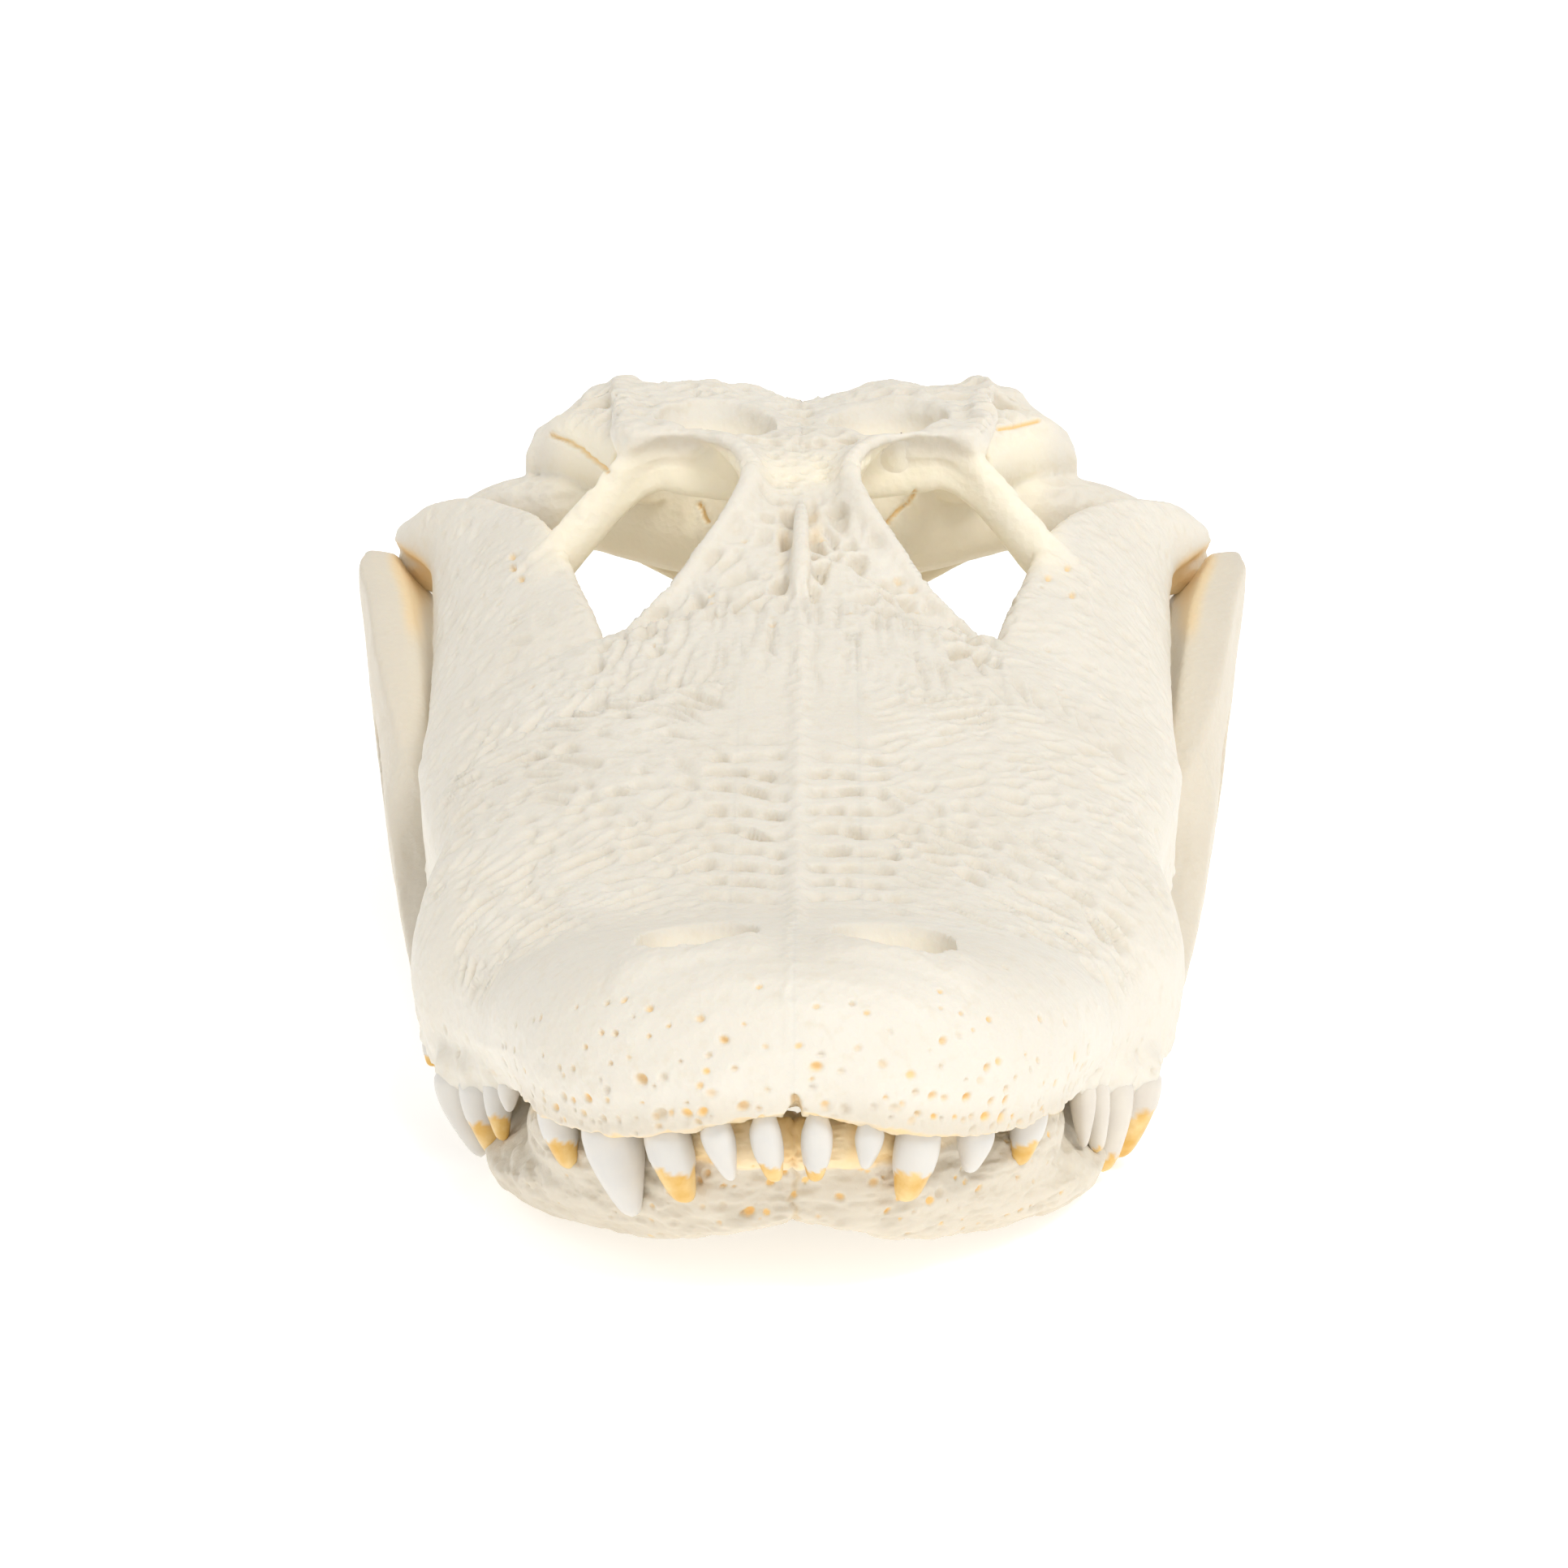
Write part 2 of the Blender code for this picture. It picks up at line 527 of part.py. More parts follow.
def palate():
    """Palatine bar, wings of the pterygoids, outer struts and pillars in front of the sockets."""
    middle = (
        (0.0, 56.0, 2.2, 8.4, 4.0), (0.0, 64.0, 2.2, 7.2, 3.8), (0.0, 72.0, 1.8, 7.4, 3.8),
        (0.0, 79.0, 1.0, 10.0, 3.6), (0.0, 84.0, 0.9, 14.0, 3.4), (0.0, 92.0, 1.0, 12.0, 3.2),
        (0.0, 95.4, 1.4, 8.0, 2.6),
    )
    wing = (
        (0.0, 86.0, 1.0, 16.0, 3.0), (6.0, 87.2, -0.6, 14.0, 2.2), (11.0, 88.0, -2.8, 11.6, 2.0),
        (15.0, 88.2, -5.0, 9.6, 2.0), (17.2, 88.2, -6.4, 7.6, 2.4),
    )
    strut = (
        (21.4, 69.0, 5.2, 3.6, 3.0), (20.4, 73.5, 3.4, 3.4, 2.4), (17.8, 79.0, 0.0, 3.2, 2.4),
        (15.8, 84.5, -4.4, 3.4, 2.6),
    )
    pillar = ((5.0, 64.2, 14.6, 3.0, 4.0), (4.2, 65.0, 8.0, 2.0, 3.0), (3.4, 65.6, 2.6, 2.6, 4.0))
    return (
        [bar("palatine", middle, power=3.0)]
        + both_sides(bar("pterygoid", wing, sides=8, power=2.6))
        + both_sides(bar("strut", strut, sides=8))
        + both_sides(bar("pillar", pillar, sides=8, up=(0.0, 1.0, 0.0)))
    )


def pit(name, levels, sides=14):
    """A shape that cuts an oval pit, from ((x, y), (half across, half along), z) levels."""
    turns = [2.0 * math.pi * step / sides for step in range(sides)]
    rings = []
    for (x, y), (across, along), z in levels:
        rings.append([(x + across * math.cos(turn), y + along * math.sin(turn), z) for turn in turns])
    return loft(name, rings)


def openings():
    """What is cut out of the upper skull: nostrils, temple openings and the nose's back end."""
    nostril = (
        ((4.9, 11.6), (2.9, 4.9), 9.6), ((5.1, 11.4), (3.2, 5.1), 7.0), ((5.1, 11.4), (2.7, 4.2), 3.4),
    )
    temple = (
        ((5.9, 85.3), (4.5, 6.9), 25.0), ((5.9, 85.0), (4.2, 6.4), 23.2),
        ((6.0, 84.2), (3.6, 5.2), 21.4), ((6.5, 83.3), (2.8, 3.8), 19.4),
        ((7.2, 83.4), (2.3, 3.3), 17.0), ((8.2, 83.6), (1.7, 2.8), 14.5),
    )
    chamber = ((5.6, 54.0, 7.4, 5.0, 4.0), (6.0, 60.0, 8.0, 7.6, 6.0), (6.4, 66.0, 8.6, 9.6, 7.6))
    return (
        both_sides(pit("nostril", nostril))
        + both_sides(pit("temple", temple))
        + both_sides(bar("chamber", chamber, power=2.4))
    )


def upper_skull():
    """Everything above the jaw joint as one closed form, before it is parted into bones."""
    pieces = rear_tooth_ridges() + [brow(), crest()] + cheek_arches() + [skull_table()] + socket_bars()
    pieces += occiput() + braincase() + quadrates() + palate()
    whole = combine(snout(), pieces, "UNION")
    return combine(whole, openings(), "DIFFERENCE")


def ramus_ring(y):
    """The outline of the right half of the lower jaw at one place along it."""
    top = Vector((at(RAMUS_TOP_X, y), at(RAMUS_TOP_Z, y)))
    wide = Vector((at(RAMUS_WIDE_X, y), at(RAMUS_WIDE_Z, y)))
    base = Vector((at(RAMUS_BASE_X, y), at(RAMUS_BASE_Z, y)))
    inner = at(RAMUS_INNER_X, y)
    shelf = at(RAMUS_SHELF, y)
    base_flat = min(0.6, shelf * 0.5)
    outer_top = top + Vector((shelf, 0.0))
    low = wide.lerp(base, 0.6) + Vector((0.35 * (wide.x - base.x), 0.0))
    inner_low = base.lerp(top, 0.2).y
    inner_high = base.lerp(top, at(RAMUS_INNER_RISE, y)).y
    ring = [
        (top.x - shelf, top.y - 0.2), outer_top, outer_top.lerp(wide, 0.5) + Vector((0.1, 0.1)), wide,
        low, (base.x + base_flat, base.y), (base.x - base_flat, base.y), (inner, inner_low),
        (inner, (inner_low + inner_high) / 2.0), (min(inner, top.x - shelf), inner_high),
    ]
    return [(x, y, z) for x, z in ring]


def lower_jaw_half():
    """The right half of the lower jaw: long blade, joint block and the spur behind it."""
    blade = loft("blade", [ramus_ring(y) for y in RAMUS_STATIONS])
    joint = (
        (30.8, 103.2, 3.2, 6.4, 5.6), (26.0, 103.6, 3.2, 7.4, 5.8), (22.4, 104.0, 3.6, 6.4, 5.0),
        (20.6, 104.2, 4.0, 4.6, 3.8),
    )
    spur = (
        (27.4, 103.0, 1.6, 7.0, 6.4), (27.4, 109.0, 2.0, 5.6, 5.0), (27.2, 114.0, 3.8, 4.2, 3.6),
        (27.0, REAR_Y, 6.8, 3.0, 2.2),
    )
    scoop = (
        (22.8, 77.0, 2.4, 3.0, 4.0), (23.8, 84.0, 2.8, 3.8, 7.0), (24.8, 92.0, 3.6, 4.0, 7.4),
        (25.6, 98.0, 5.0, 3.0, 5.0),
    )
    window = []
    for step in range(14):
        along, rise = math.cos(2.0 * math.pi * step / 14), math.sin(2.0 * math.pi * step / 14)
        window.append((
            WINDOW_CENTRE[0] + WINDOW_HALF_LENGTH * along,
            WINDOW_CENTRE[1] + WINDOW_HALF_HEIGHT * rise + WINDOW_TILT * along,
        ))
    whole = combine(blade, [bar("joint", joint, power=3.0), bar("spur", spur, power=2.4)], "UNION")
    cutters = [prism("window", window, 18.0, 40.0, axis="X"), bar("scoop", scoop, power=2.6)]
    return combine(whole, cutters, "DIFFERENCE")


def tooth(place, length, radius, direction, lean):
    """A blunt cone with its root sunk in the bone and its tip leaning a little."""
    x, y, z = place
    rings = []
    for share, girth in ((-ROOT_DEPTH / length, 0.8),) + TOOTH_LEVELS:
        shift = max(share, 0.0) ** 2
        ring = []
        for side in range(TOOTH_SIDES):
            turn = 2.0 * math.pi * side / TOOTH_SIDES
            ring.append((
                x + shift * lean[0] + radius * girth * math.cos(turn),
                y + shift * lean[1] + radius * girth * math.sin(turn),
                z + direction * length * share,
            ))
        rings.append(ring)
    return loft("tooth", rings)


def on_side(pieces, side):
    """Pieces modelled on the right, moved to the side that is asked for."""
    if side == "right":
        return pieces
    moved = [mirror_copy(piece, piece.name) for piece in pieces]
    remove(pieces)
    return moved


def front_teeth(side, rng):
    """The five teeth of one premaxilla."""
    teeth = []
    for x, y, length, radius in FRONT_TEETH[side]:
        place = (x, y, at(TOOTH_EDGE_Z, y) + 0.15)
        teeth.append(tooth(place, length * rng.uniform(0.96, 1.04), radius, -1.0, (0.1, 0.3)))
    return on_side(teeth, side)


def rear_teeth(side, rng):
    """The teeth of one maxilla, along the jaw's outer edge."""
    teeth = []
    for y, (length, radius) in zip(REAR_PLACES, REAR_TEETH[side]):
        place = (at(JAW_HALF_WIDTH, y) - 0.25 - 0.4 * radius, y, at(TOOTH_EDGE_Z, y) + 0.15)
        teeth.append(tooth(place, length * rng.uniform(0.96, 1.04), radius, -1.0, (0.5, -0.1)))
    return on_side(teeth, side)


def lower_teeth(side, rng):
    """The teeth of one half of the lower jaw, standing inside the upper row."""
    teeth = []
    for index, y in enumerate(LOWER_PLACES):
        length, radius = (2.5, 0.95) if index in LOWER_LARGE_TEETH else (1.9, 0.7)
        place = (at(RAMUS_TOP_X, y) + 0.1, y, at(RAMUS_TOP_Z, y) - 0.2)
        length *= rng.uniform(0.9, 1.05)
        teeth.append(tooth(place, length, radius * rng.uniform(0.94, 1.05), 1.0, (0.15, 0.0)))
    return on_side(teeth, side)


def blade_between(low, high):
    """A thin cutting blade between two corners that share one coordinate."""
    low, high = Vector(low), Vector(high)
    for axis in range(3):
        if low[axis] == high[axis]:
            low[axis] -= GAP / 2.0
            high[axis] += GAP / 2.0
    return box("blade", low, high)


def ribbon(name, path, low, high):
    """A thin upright cutting blade along a path that is seen from above."""
    sides = ([], [])
    for index, point in enumerate(path):
        following = Vector(path[min(index + 1, len(path) - 1)])
        before = Vector(path[max(index - 1, 0)])
        along = (following - before).normalized()
        across = Vector((along.y, -along.x)) * GAP / 2.0
        sides[0].append(tuple(Vector(point) - across))
        sides[1].append(tuple(Vector(point) + across))
    return prism(name, sides[0] + sides[1][::-1], low, high)


def bone_cuts():
    """Thin blades along which the upper skull is parted into its bones."""
    half = GAP / 2.0
    nose_x, nose_z = NASAL_HALF_WIDTH, NASAL_FLOOR_Z
    bar_x, bar_z = PALATINE_HALF_WIDTH, PALATINE_TOP_Z
    back = 3.0 * FAR
    middle = (
        (-FAR, -FAR), (PALATINE_FRONT_Y, -FAR), (PALATINE_FRONT_Y, CHEEK_FLOOR_Z),
        (FACE_BACK_Y, CHEEK_FLOOR_Z), (FACE_BACK_Y, nose_z), (PREMAXILLA_BACK_Y, nose_z),
        (PREMAXILLA_BACK_Y, FAR), (-FAR, FAR),
    )
    face_back = (
        (-FAR, CHEEK_FLOOR_Z), (FAR, CHEEK_FLOOR_Z), (FAR, FAR), (nose_x, FAR), (nose_x, nose_z),
        (-nose_x, nose_z), (-nose_x, FAR), (-FAR, FAR),
    )
    blades = [
        prism("midline", middle, -half, half, axis="X"),
        prism("face_back", face_back, FACE_BACK_Y - half, FACE_BACK_Y + half, axis="Y"),
        blade_between((-FAR, PREMAXILLA_BACK_Y, -FAR), (FAR, PREMAXILLA_BACK_Y, FAR)),
        blade_between((-nose_x, PREMAXILLA_BACK_Y, nose_z), (nose_x, NASAL_BACK_Y, nose_z)),
        blade_between((-nose_x, NASAL_BACK_Y, nose_z), (nose_x, NASAL_BACK_Y, FAR)),
        blade_between((-FAR, FACE_BACK_Y, CHEEK_FLOOR_Z), (FAR, PALATINE_FRONT_Y, CHEEK_FLOOR_Z)),
        blade_between((-FAR, PALATINE_BACK_Y, CHEEK_FLOOR_Z), (FAR, back, CHEEK_FLOOR_Z)),
        blade_between((-bar_x, PALATINE_FRONT_Y, bar_z), (bar_x, PALATINE_BACK_Y, bar_z)),
        blade_between((-bar_x, PALATINE_FRONT_Y, -FAR), (bar_x, PALATINE_FRONT_Y, bar_z)),
        blade_between((-bar_x, PALATINE_BACK_Y, -FAR), (bar_x, PALATINE_BACK_Y, bar_z)),
        blade_between((-FAR, BROW_BACK_Y, ROOF_FLOOR_Z), (FAR, back, ROOF_FLOOR_Z)),
        blade_between((-SOCKET_SIDE_X, BROW_BACK_Y, bar_z), (SOCKET_SIDE_X, BROW_BACK_Y, FAR)),
    ]
    side_x = BRAINCASE_HALF_WIDTH
    paired = [
        blade_between((nose_x, PREMAXILLA_BACK_Y, nose_z), (nose_x, NASAL_BACK_Y, FAR)),
        blade_between((bar_x, PALATINE_FRONT_Y, -FAR), (bar_x, PALATINE_BACK_Y, bar_z)),
        blade_between((bar_x, PALATINE_FRONT_Y, CHEEK_FLOOR_Z), (FAR, PALATINE_BACK_Y, CHEEK_FLOOR_Z)),
        blade_between((bar_x, MAXILLA_BACK_Y, -FAR), (FAR, MAXILLA_BACK_Y, CHEEK_FLOOR_Z)),
        blade_between((SOCKET_SIDE_X, MAXILLA_BACK_Y, ROOF_FLOOR_Z), (FAR, BROW_BACK_Y, ROOF_FLOOR_Z)),
        blade_between((side_x, BROW_BACK_Y, CHEEK_FLOOR_Z), (side_x, back, ROOF_FLOOR_Z)),
        ribbon("cheek_seam", CHEEK_SEAM, CHEEK_FLOOR_Z, ROOF_FLOOR_Z),
    ]
    for blade in paired:
        blades += both_sides(blade)
    return blades


def face_groups(mesh):
    """The faces of each separate surface in a mesh."""
    mesh.faces.ensure_lookup_table()
    seen = set()
    groups = []
    for start in mesh.faces:
        if start in seen:
            continue
        seen.add(start)
        group = [start]
        for face in group:
            for edge in face.edges:
                for beside in edge.link_faces:
                    if beside not in seen:
                        seen.add(beside)
                        group.append(beside)
        groups.append(group)
    return groups


def enclosed_volume(group):
    """Volume inside a closed group of triangles."""
    total = 0.0
    for face in group:
        a, b, c = (vertex.co for vertex in face.verts)
        total += a.dot(b.cross(c)) / 6.0
    return abs(total)


def keep_largest(thing):
    """Leave only the closed surface that holds most."""
    mesh = bmesh.new()
    mesh.from_mesh(thing.data)
    bmesh.ops.triangulate(mesh, faces=mesh.faces[:])
    groups = sorted(face_groups(mesh), key=enclosed_volume, reverse=True)
    spare = [face for group in groups[1:] for face in group]
    bmesh.ops.delete(mesh, geom=spare, context="FACES")
    mesh.to_mesh(thing.data)
    mesh.free()


def encloses(tree, place):
    """Whether a place lies inside the closed surface of a search tree."""
    point, normal, index, distance = tree.ray_cast(place, Vector((0.0, 0.0, 1.0)))
    return point is not None and normal.z > 0.0


def bone_hearts():
    """A place inside each bone of the upper skull."""
    hearts = dict(MIDDLE_HEARTS)
    for name, (x, y, z) in SIDE_HEARTS.items():
        hearts[name + "_right"] = (x, y, z)
        hearts[name + "_left"] = (-x, y, z)
    return hearts


def split_bones(source):
    """The cut-apart surfaces as objects, each named after the bone whose heart it holds."""
    mesh = bmesh.new()
    mesh.from_mesh(source.data)
    bmesh.ops.triangulate(mesh, faces=mesh.faces[:])
    bones = {}
    for group in face_groups(mesh):
        order = {}
        for face in group:
            for vertex in face.verts:
                order.setdefault(vertex, len(order))
        places = [vertex.co.copy() for vertex in order]
        faces = [tuple(order[vertex] for vertex in face.verts) for face in group]
        tree = BVHTree.FromPolygons(places, faces)
        for name, heart in bone_hearts().items():
            if name not in bones and encloses(tree, to_world(heart)):
                data = bpy.data.meshes.new(name)
                data.from_pydata(places, [], faces)
                bones[name] = bpy.data.objects.new(name, data)
                bpy.context.scene.collection.objects.link(bones[name])
    mesh.free()
    remove([source])
    return bones


def lower_bones():
    """The two halves of the lower jaw, each parted into its front and rear bones."""
    bones = {}
    half = GAP / 2.0
    spans = {
        "dentary": (-FAR, LOWER_JAW_SPLIT_Y - half),
        "angular": (LOWER_JAW_SPLIT_Y + half, 3.0 * FAR),
    }
    for name, (front, back) in spans.items():
        region = box("region", (half, front, -FAR), (FAR, back, FAR))
        bones[name + "_right"] = combine(lower_jaw_half(), [region], "INTERSECT")
        bones[name + "_left"] = mirror_copy(bones[name + "_right"], name + "_left")
    return bones


def material(name, colour):
    """A plain bone finish."""
    made = bpy.data.materials.new(name)
    made.use_nodes = True
    shader = made.node_tree.nodes["Principled BSDF"]
    shader.inputs["Base Color"].default_value = (*colour, 1.0)
    shader.inputs["Roughness"].default_value = BONE_ROUGHNESS
    shader.inputs["Metallic"].default_value = 0.0
    return made


def build():
    """The whole skull, bone by bone."""
    remove(list(bpy.data.objects))
    rng = random.Random(SEED)
    skull = combine(upper_skull(), bone_cuts(), "DIFFERENCE")
    bones = split_bones(skull)
    bones.update(lower_bones())
    for side in ("right", "left"):
        combine(bones["premaxilla_" + side], front_teeth(side, rng), "UNION")
        combine(bones["maxilla_" + side], rear_teeth(side, rng), "UNION")
        combine(bones["dentary_" + side], lower_teeth(side, rng), "UNION")
    plain = material("ivory_bone", IVORY)
    toothed = material("ivory_bone_with_teeth", PALE_IVORY)
    for name, bone in bones.items():
        keep_largest(bone)
        bone.name = name
        carries_teeth = name.startswith(("premaxilla", "maxilla", "dentary"))
        bone.data.materials.clear()
        bone.data.materials.append(toothed if carries_teeth else plain)
        bone.data.shade_smooth()
        bone.data.set_sharp_from_angle(angle=math.radians(SHARP_DEGREES))


build()
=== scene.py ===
"""Looks of the alligator skull: sculptured bone, enamel teeth, pale floor, soft light and camera.

Shapes are worked out in the part's own units, one hundredth of the skull's length: x across,
y from the snout tip backwards and z up from the edge of the front tooth row.
"""

import math
import random

import bmesh
import bpy
import numpy as np
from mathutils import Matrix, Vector
from mathutils.bvhtree import BVHTree
from mathutils.kdtree import KDTree


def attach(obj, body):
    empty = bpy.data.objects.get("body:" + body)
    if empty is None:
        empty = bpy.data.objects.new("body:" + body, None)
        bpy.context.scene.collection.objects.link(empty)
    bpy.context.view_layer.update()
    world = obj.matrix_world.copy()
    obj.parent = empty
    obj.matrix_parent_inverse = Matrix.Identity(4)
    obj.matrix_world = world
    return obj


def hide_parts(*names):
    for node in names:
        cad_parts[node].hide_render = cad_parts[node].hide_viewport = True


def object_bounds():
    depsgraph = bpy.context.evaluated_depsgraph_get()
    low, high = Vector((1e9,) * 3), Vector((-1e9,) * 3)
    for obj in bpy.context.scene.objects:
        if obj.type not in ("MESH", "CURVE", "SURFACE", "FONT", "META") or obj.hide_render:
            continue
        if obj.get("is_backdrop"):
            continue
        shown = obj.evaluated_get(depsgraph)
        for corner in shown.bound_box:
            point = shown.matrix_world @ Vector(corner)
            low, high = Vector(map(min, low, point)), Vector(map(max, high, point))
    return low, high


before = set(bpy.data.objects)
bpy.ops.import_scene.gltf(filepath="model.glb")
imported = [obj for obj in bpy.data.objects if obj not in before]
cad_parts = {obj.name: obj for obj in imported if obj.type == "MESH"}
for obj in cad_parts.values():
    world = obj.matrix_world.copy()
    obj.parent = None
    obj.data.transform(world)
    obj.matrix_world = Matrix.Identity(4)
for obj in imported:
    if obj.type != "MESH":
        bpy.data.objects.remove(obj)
CAD_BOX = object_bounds()

# Driving sizes, the same as the part's
SKULL_LENGTH = 0.460  # metres, from the snout tip to the back edge of the skull table
UNIT = SKULL_LENGTH / 100.0
FLOOR_Z = -10.5
FRONT_Y = 0.3
REAR_Y = 119.4
MIDDLE_Y = (FRONT_Y + REAR_Y) / 2.0
SEED = 7

# How finely the surfaces are made, in metres, and how much they are smoothed, more behind the snout
BONE_VOXEL = 0.0010
SMOOTHING_ROUNDS = 7
REAR_SMOOTHING_ROUNDS = 30
REAR_SMOOTHING_Y = (57.0, 62.0)  # the stronger smoothing fades in between these
STATION_STEP = 1.2  # units between the rings of a skinned form
FRONT_DETAIL_Y = 15.0  # in front of this, in units, the surface is made twice as fine

# The snout, as (y, value) pairs
JAW_HALF_WIDTH = (
    (0.3, 4.2), (1.2, 6.4), (2.5, 8.8), (4.0, 10.6), (7.0, 13.0), (10.0, 14.3), (14.0, 15.2),
    (18.0, 15.8), (21.0, 17.1), (25.0, 19.5), (29.0, 21.5), (33.0, 22.2), (37.0, 22.1),
    (43.0, 21.7), (50.0, 22.8), (60.0, 24.4), (66.0, 25.0),
)
TOOTH_EDGE_Z = (
    (0.3, 0.6), (0.9, 0.1), (2.0, -0.5), (3.0, -0.9), (5.5, -1.4), (8.0, -1.6), (12.0, -2.1),
    (16.5, -3.0), (21.0, -4.5), (24.5, -5.3), (28.0, -5.4), (33.0, -5.0), (40.0, -3.9),
    (47.0, -3.2), (57.0, -3.5), (63.0, -2.7), (68.0, -1.5),
)
SNOUT_TOP_Z = (
    (0.3, 4.4), (1.2, 6.1), (2.5, 7.3), (4.5, 8.0), (6.5, 8.2), (10.0, 7.8), (16.5, 6.6),
    (21.0, 6.4), (27.0, 7.0), (35.0, 8.6), (45.0, 11.0), (55.0, 13.8), (61.0, 15.2), (64.0, 12.0),
)
WIDEST_Z = (
    (0.3, 1.6), (10.0, 0.8), (20.0, -1.4), (28.0, -2.2), (36.0, -0.4), (45.0, 1.6), (62.0, 3.2),
)
ROUNDNESS = (
    (0.3, 2.2), (8.0, 2.5), (20.0, 2.8), (30.0, 2.7), (45.0, 2.1), (55.0, 1.8), (62.0, 1.6),
)
PALATE_RISE = ((0.3, 0.3), (3.0, 0.9), (7.0, 3.5), (66.0, 3.5))
WALL_SWELL = ((9.0, 0.0), (12.0, 0.3), (15.0, 0.9), (18.0, 1.2), (21.0, 0.8), (25.0, 0.0))
RIDGE_WIDTH = 2.7
SNOUT_SPAN = (0.3, 63.4)
SNOUT_ARC_STEPS = 40

# The brow, between and in front of the eye sockets
BROW_HALF_WIDTH = (
    (56.0, 13.2), (60.0, 12.9), (62.0, 12.3), (65.0, 8.8), (68.0, 6.4), (71.0, 4.3), (73.0, 3.8),
    (75.5, 4.7), (77.5, 6.4), (79.2, 9.0),
)
BROW_RIM_Z = (
    (56.0, 10.6), (60.0, 12.1), (62.0, 12.4), (65.0, 14.8), (68.0, 17.5), (71.0, 20.2),
    (73.0, 21.3), (75.5, 22.4), (77.5, 22.9), (79.2, 23.0),
)
BROW_MIDDLE_Z = (
    (56.0, 13.8), (60.0, 15.0), (64.0, 16.3), (68.0, 17.7), (71.0, 19.2), (75.5, 21.2), (79.2, 22.5),
)
BROW_UNDER_Z = (
    (56.0, 5.0), (62.0, 7.0), (65.0, 11.0), (68.0, 14.6), (71.0, 17.0), (75.0, 18.8), (79.2, 19.2),
)
BROW_SPAN = (56.0, 79.2)

# The cheek arch: its upper edge, its outer lower edge, its thickness and its outward bulge
CHEEK_TOP_X = (
    (52.0, 12.0), (62.0, 13.2), (66.0, 14.2), (71.0, 15.4), (79.0, 17.4), (84.0, 19.0),
    (92.0, 22.6), (98.0, 27.0), (102.6, 29.0),
)
CHEEK_TOP_Z = (
    (52.0, 8.5), (62.0, 12.2), (66.0, 13.6), (71.0, 14.4), (79.0, 16.0), (84.0, 16.3), (92.0, 16.1),
    (98.0, 14.7), (102.6, 12.6),
)
CHEEK_LOW_X = (
    (52.0, 23.2), (62.0, 24.6), (75.0, 25.2), (90.0, 26.3), (95.0, 26.9), (98.5, 28.6), (102.6, 30.2),
)
CHEEK_LOW_Z = (
    (52.0, 1.6), (62.0, 3.0), (75.0, 5.2), (90.0, 8.6), (95.0, 9.9), (98.5, 10.5), (102.6, 10.6),
)
CHEEK_THICKNESS = ((52.0, 3.4), (62.0, 3.0), (75.0, 2.5), (90.0, 2.6), (98.0, 3.2), (102.6, 2.6))
CHEEK_BULGE = ((52.0, 1.8), (66.0, 1.5), (80.0, 1.2), (102.6, 0.6))
CHEEK_SPAN = (52.0, 102.6)

# The bar behind each eye socket, as (x, y, z, width, depth)
SOCKET_BAR_STOPS = (
    (2.5, 79.6, 20.2, 4.8, 4.0), (7.1, 79.8, 20.6, 4.6, 3.6), (9.2, 79.7, 20.7, 4.0, 3.4),
    (10.9, 79.5, 20.1, 3.5, 3.0), (12.4, 79.2, 18.9, 3.1, 2.8), (14.4, 78.2, 16.8, 2.9, 2.6),
    (16.2, 77.2, 14.9, 3.0, 2.6), (17.6, 76.5, 13.4, 3.3, 2.6), (18.7, 76.0, 12.0, 3.6, 2.8),
)

# The skull table over the braincase; across it, (share of the half width, share of the sag)
TABLE_HALF_WIDTH = ((78.4, 11.6), (80.0, 12.6), (90.0, 13.2), (98.0, 13.8), (100.0, 13.2))
TABLE_TOP_Z = ((78.4, 22.9), (80.0, 23.2), (90.0, 23.5), (98.0, 23.8), (100.0, 23.6))
TABLE_SAG = ((78.4, 0.6), (90.0, 1.0), (100.0, 1.8))
TABLE_UNDER_Z = 19.6
TABLE_SPAN = (78.4, 100.0)
TABLE_ACROSS = ((0.0, 1.0), (0.2, 0.6), (0.45, 0.05), (0.72, 0.25), (1.0, 0.0))

# The right half of the lower jaw, seen in cross-section
RAMUS_TOP_X = (
    (3.8, 2.4), (5.0, 4.6), (8.0, 7.0), (12.0, 8.6), (16.0, 9.6), (20.0, 10.8), (25.0, 13.5),
    (30.0, 16.0), (36.0, 17.0), (45.0, 16.9), (55.0, 18.7), (62.0, 19.8), (67.0, 22.0),
    (72.0, 25.6), (78.0, 27.2), (84.0, 28.3), (90.0, 29.3), (101.0, 31.2), (104.0, 31.2), (108.0, 29.6),
)
RAMUS_TOP_Z = (
    (3.8, -1.8), (8.0, -1.7), (12.0, -2.2), (16.0, -3.2), (20.0, -4.4), (26.0, -5.6), (33.0, -5.6),
    (40.0, -4.5), (47.0, -3.8), (57.0, -4.1), (64.0, -3.3), (67.5, -1.8), (72.0, 2.6), (78.0, 5.6),
    (84.0, 7.6), (90.0, 9.2), (101.0, 10.6), (104.0, 9.6), (108.0, 5.0),
)
RAMUS_SHELF = (
    (3.8, 0.9), (5.0, 1.3), (10.0, 1.7), (60.0, 1.7), (66.0, 1.5), (72.0, 1.2), (84.0, 1.6), (96.0, 1.6),
    (101.0, 1.1), (108.0, 0.8),
)
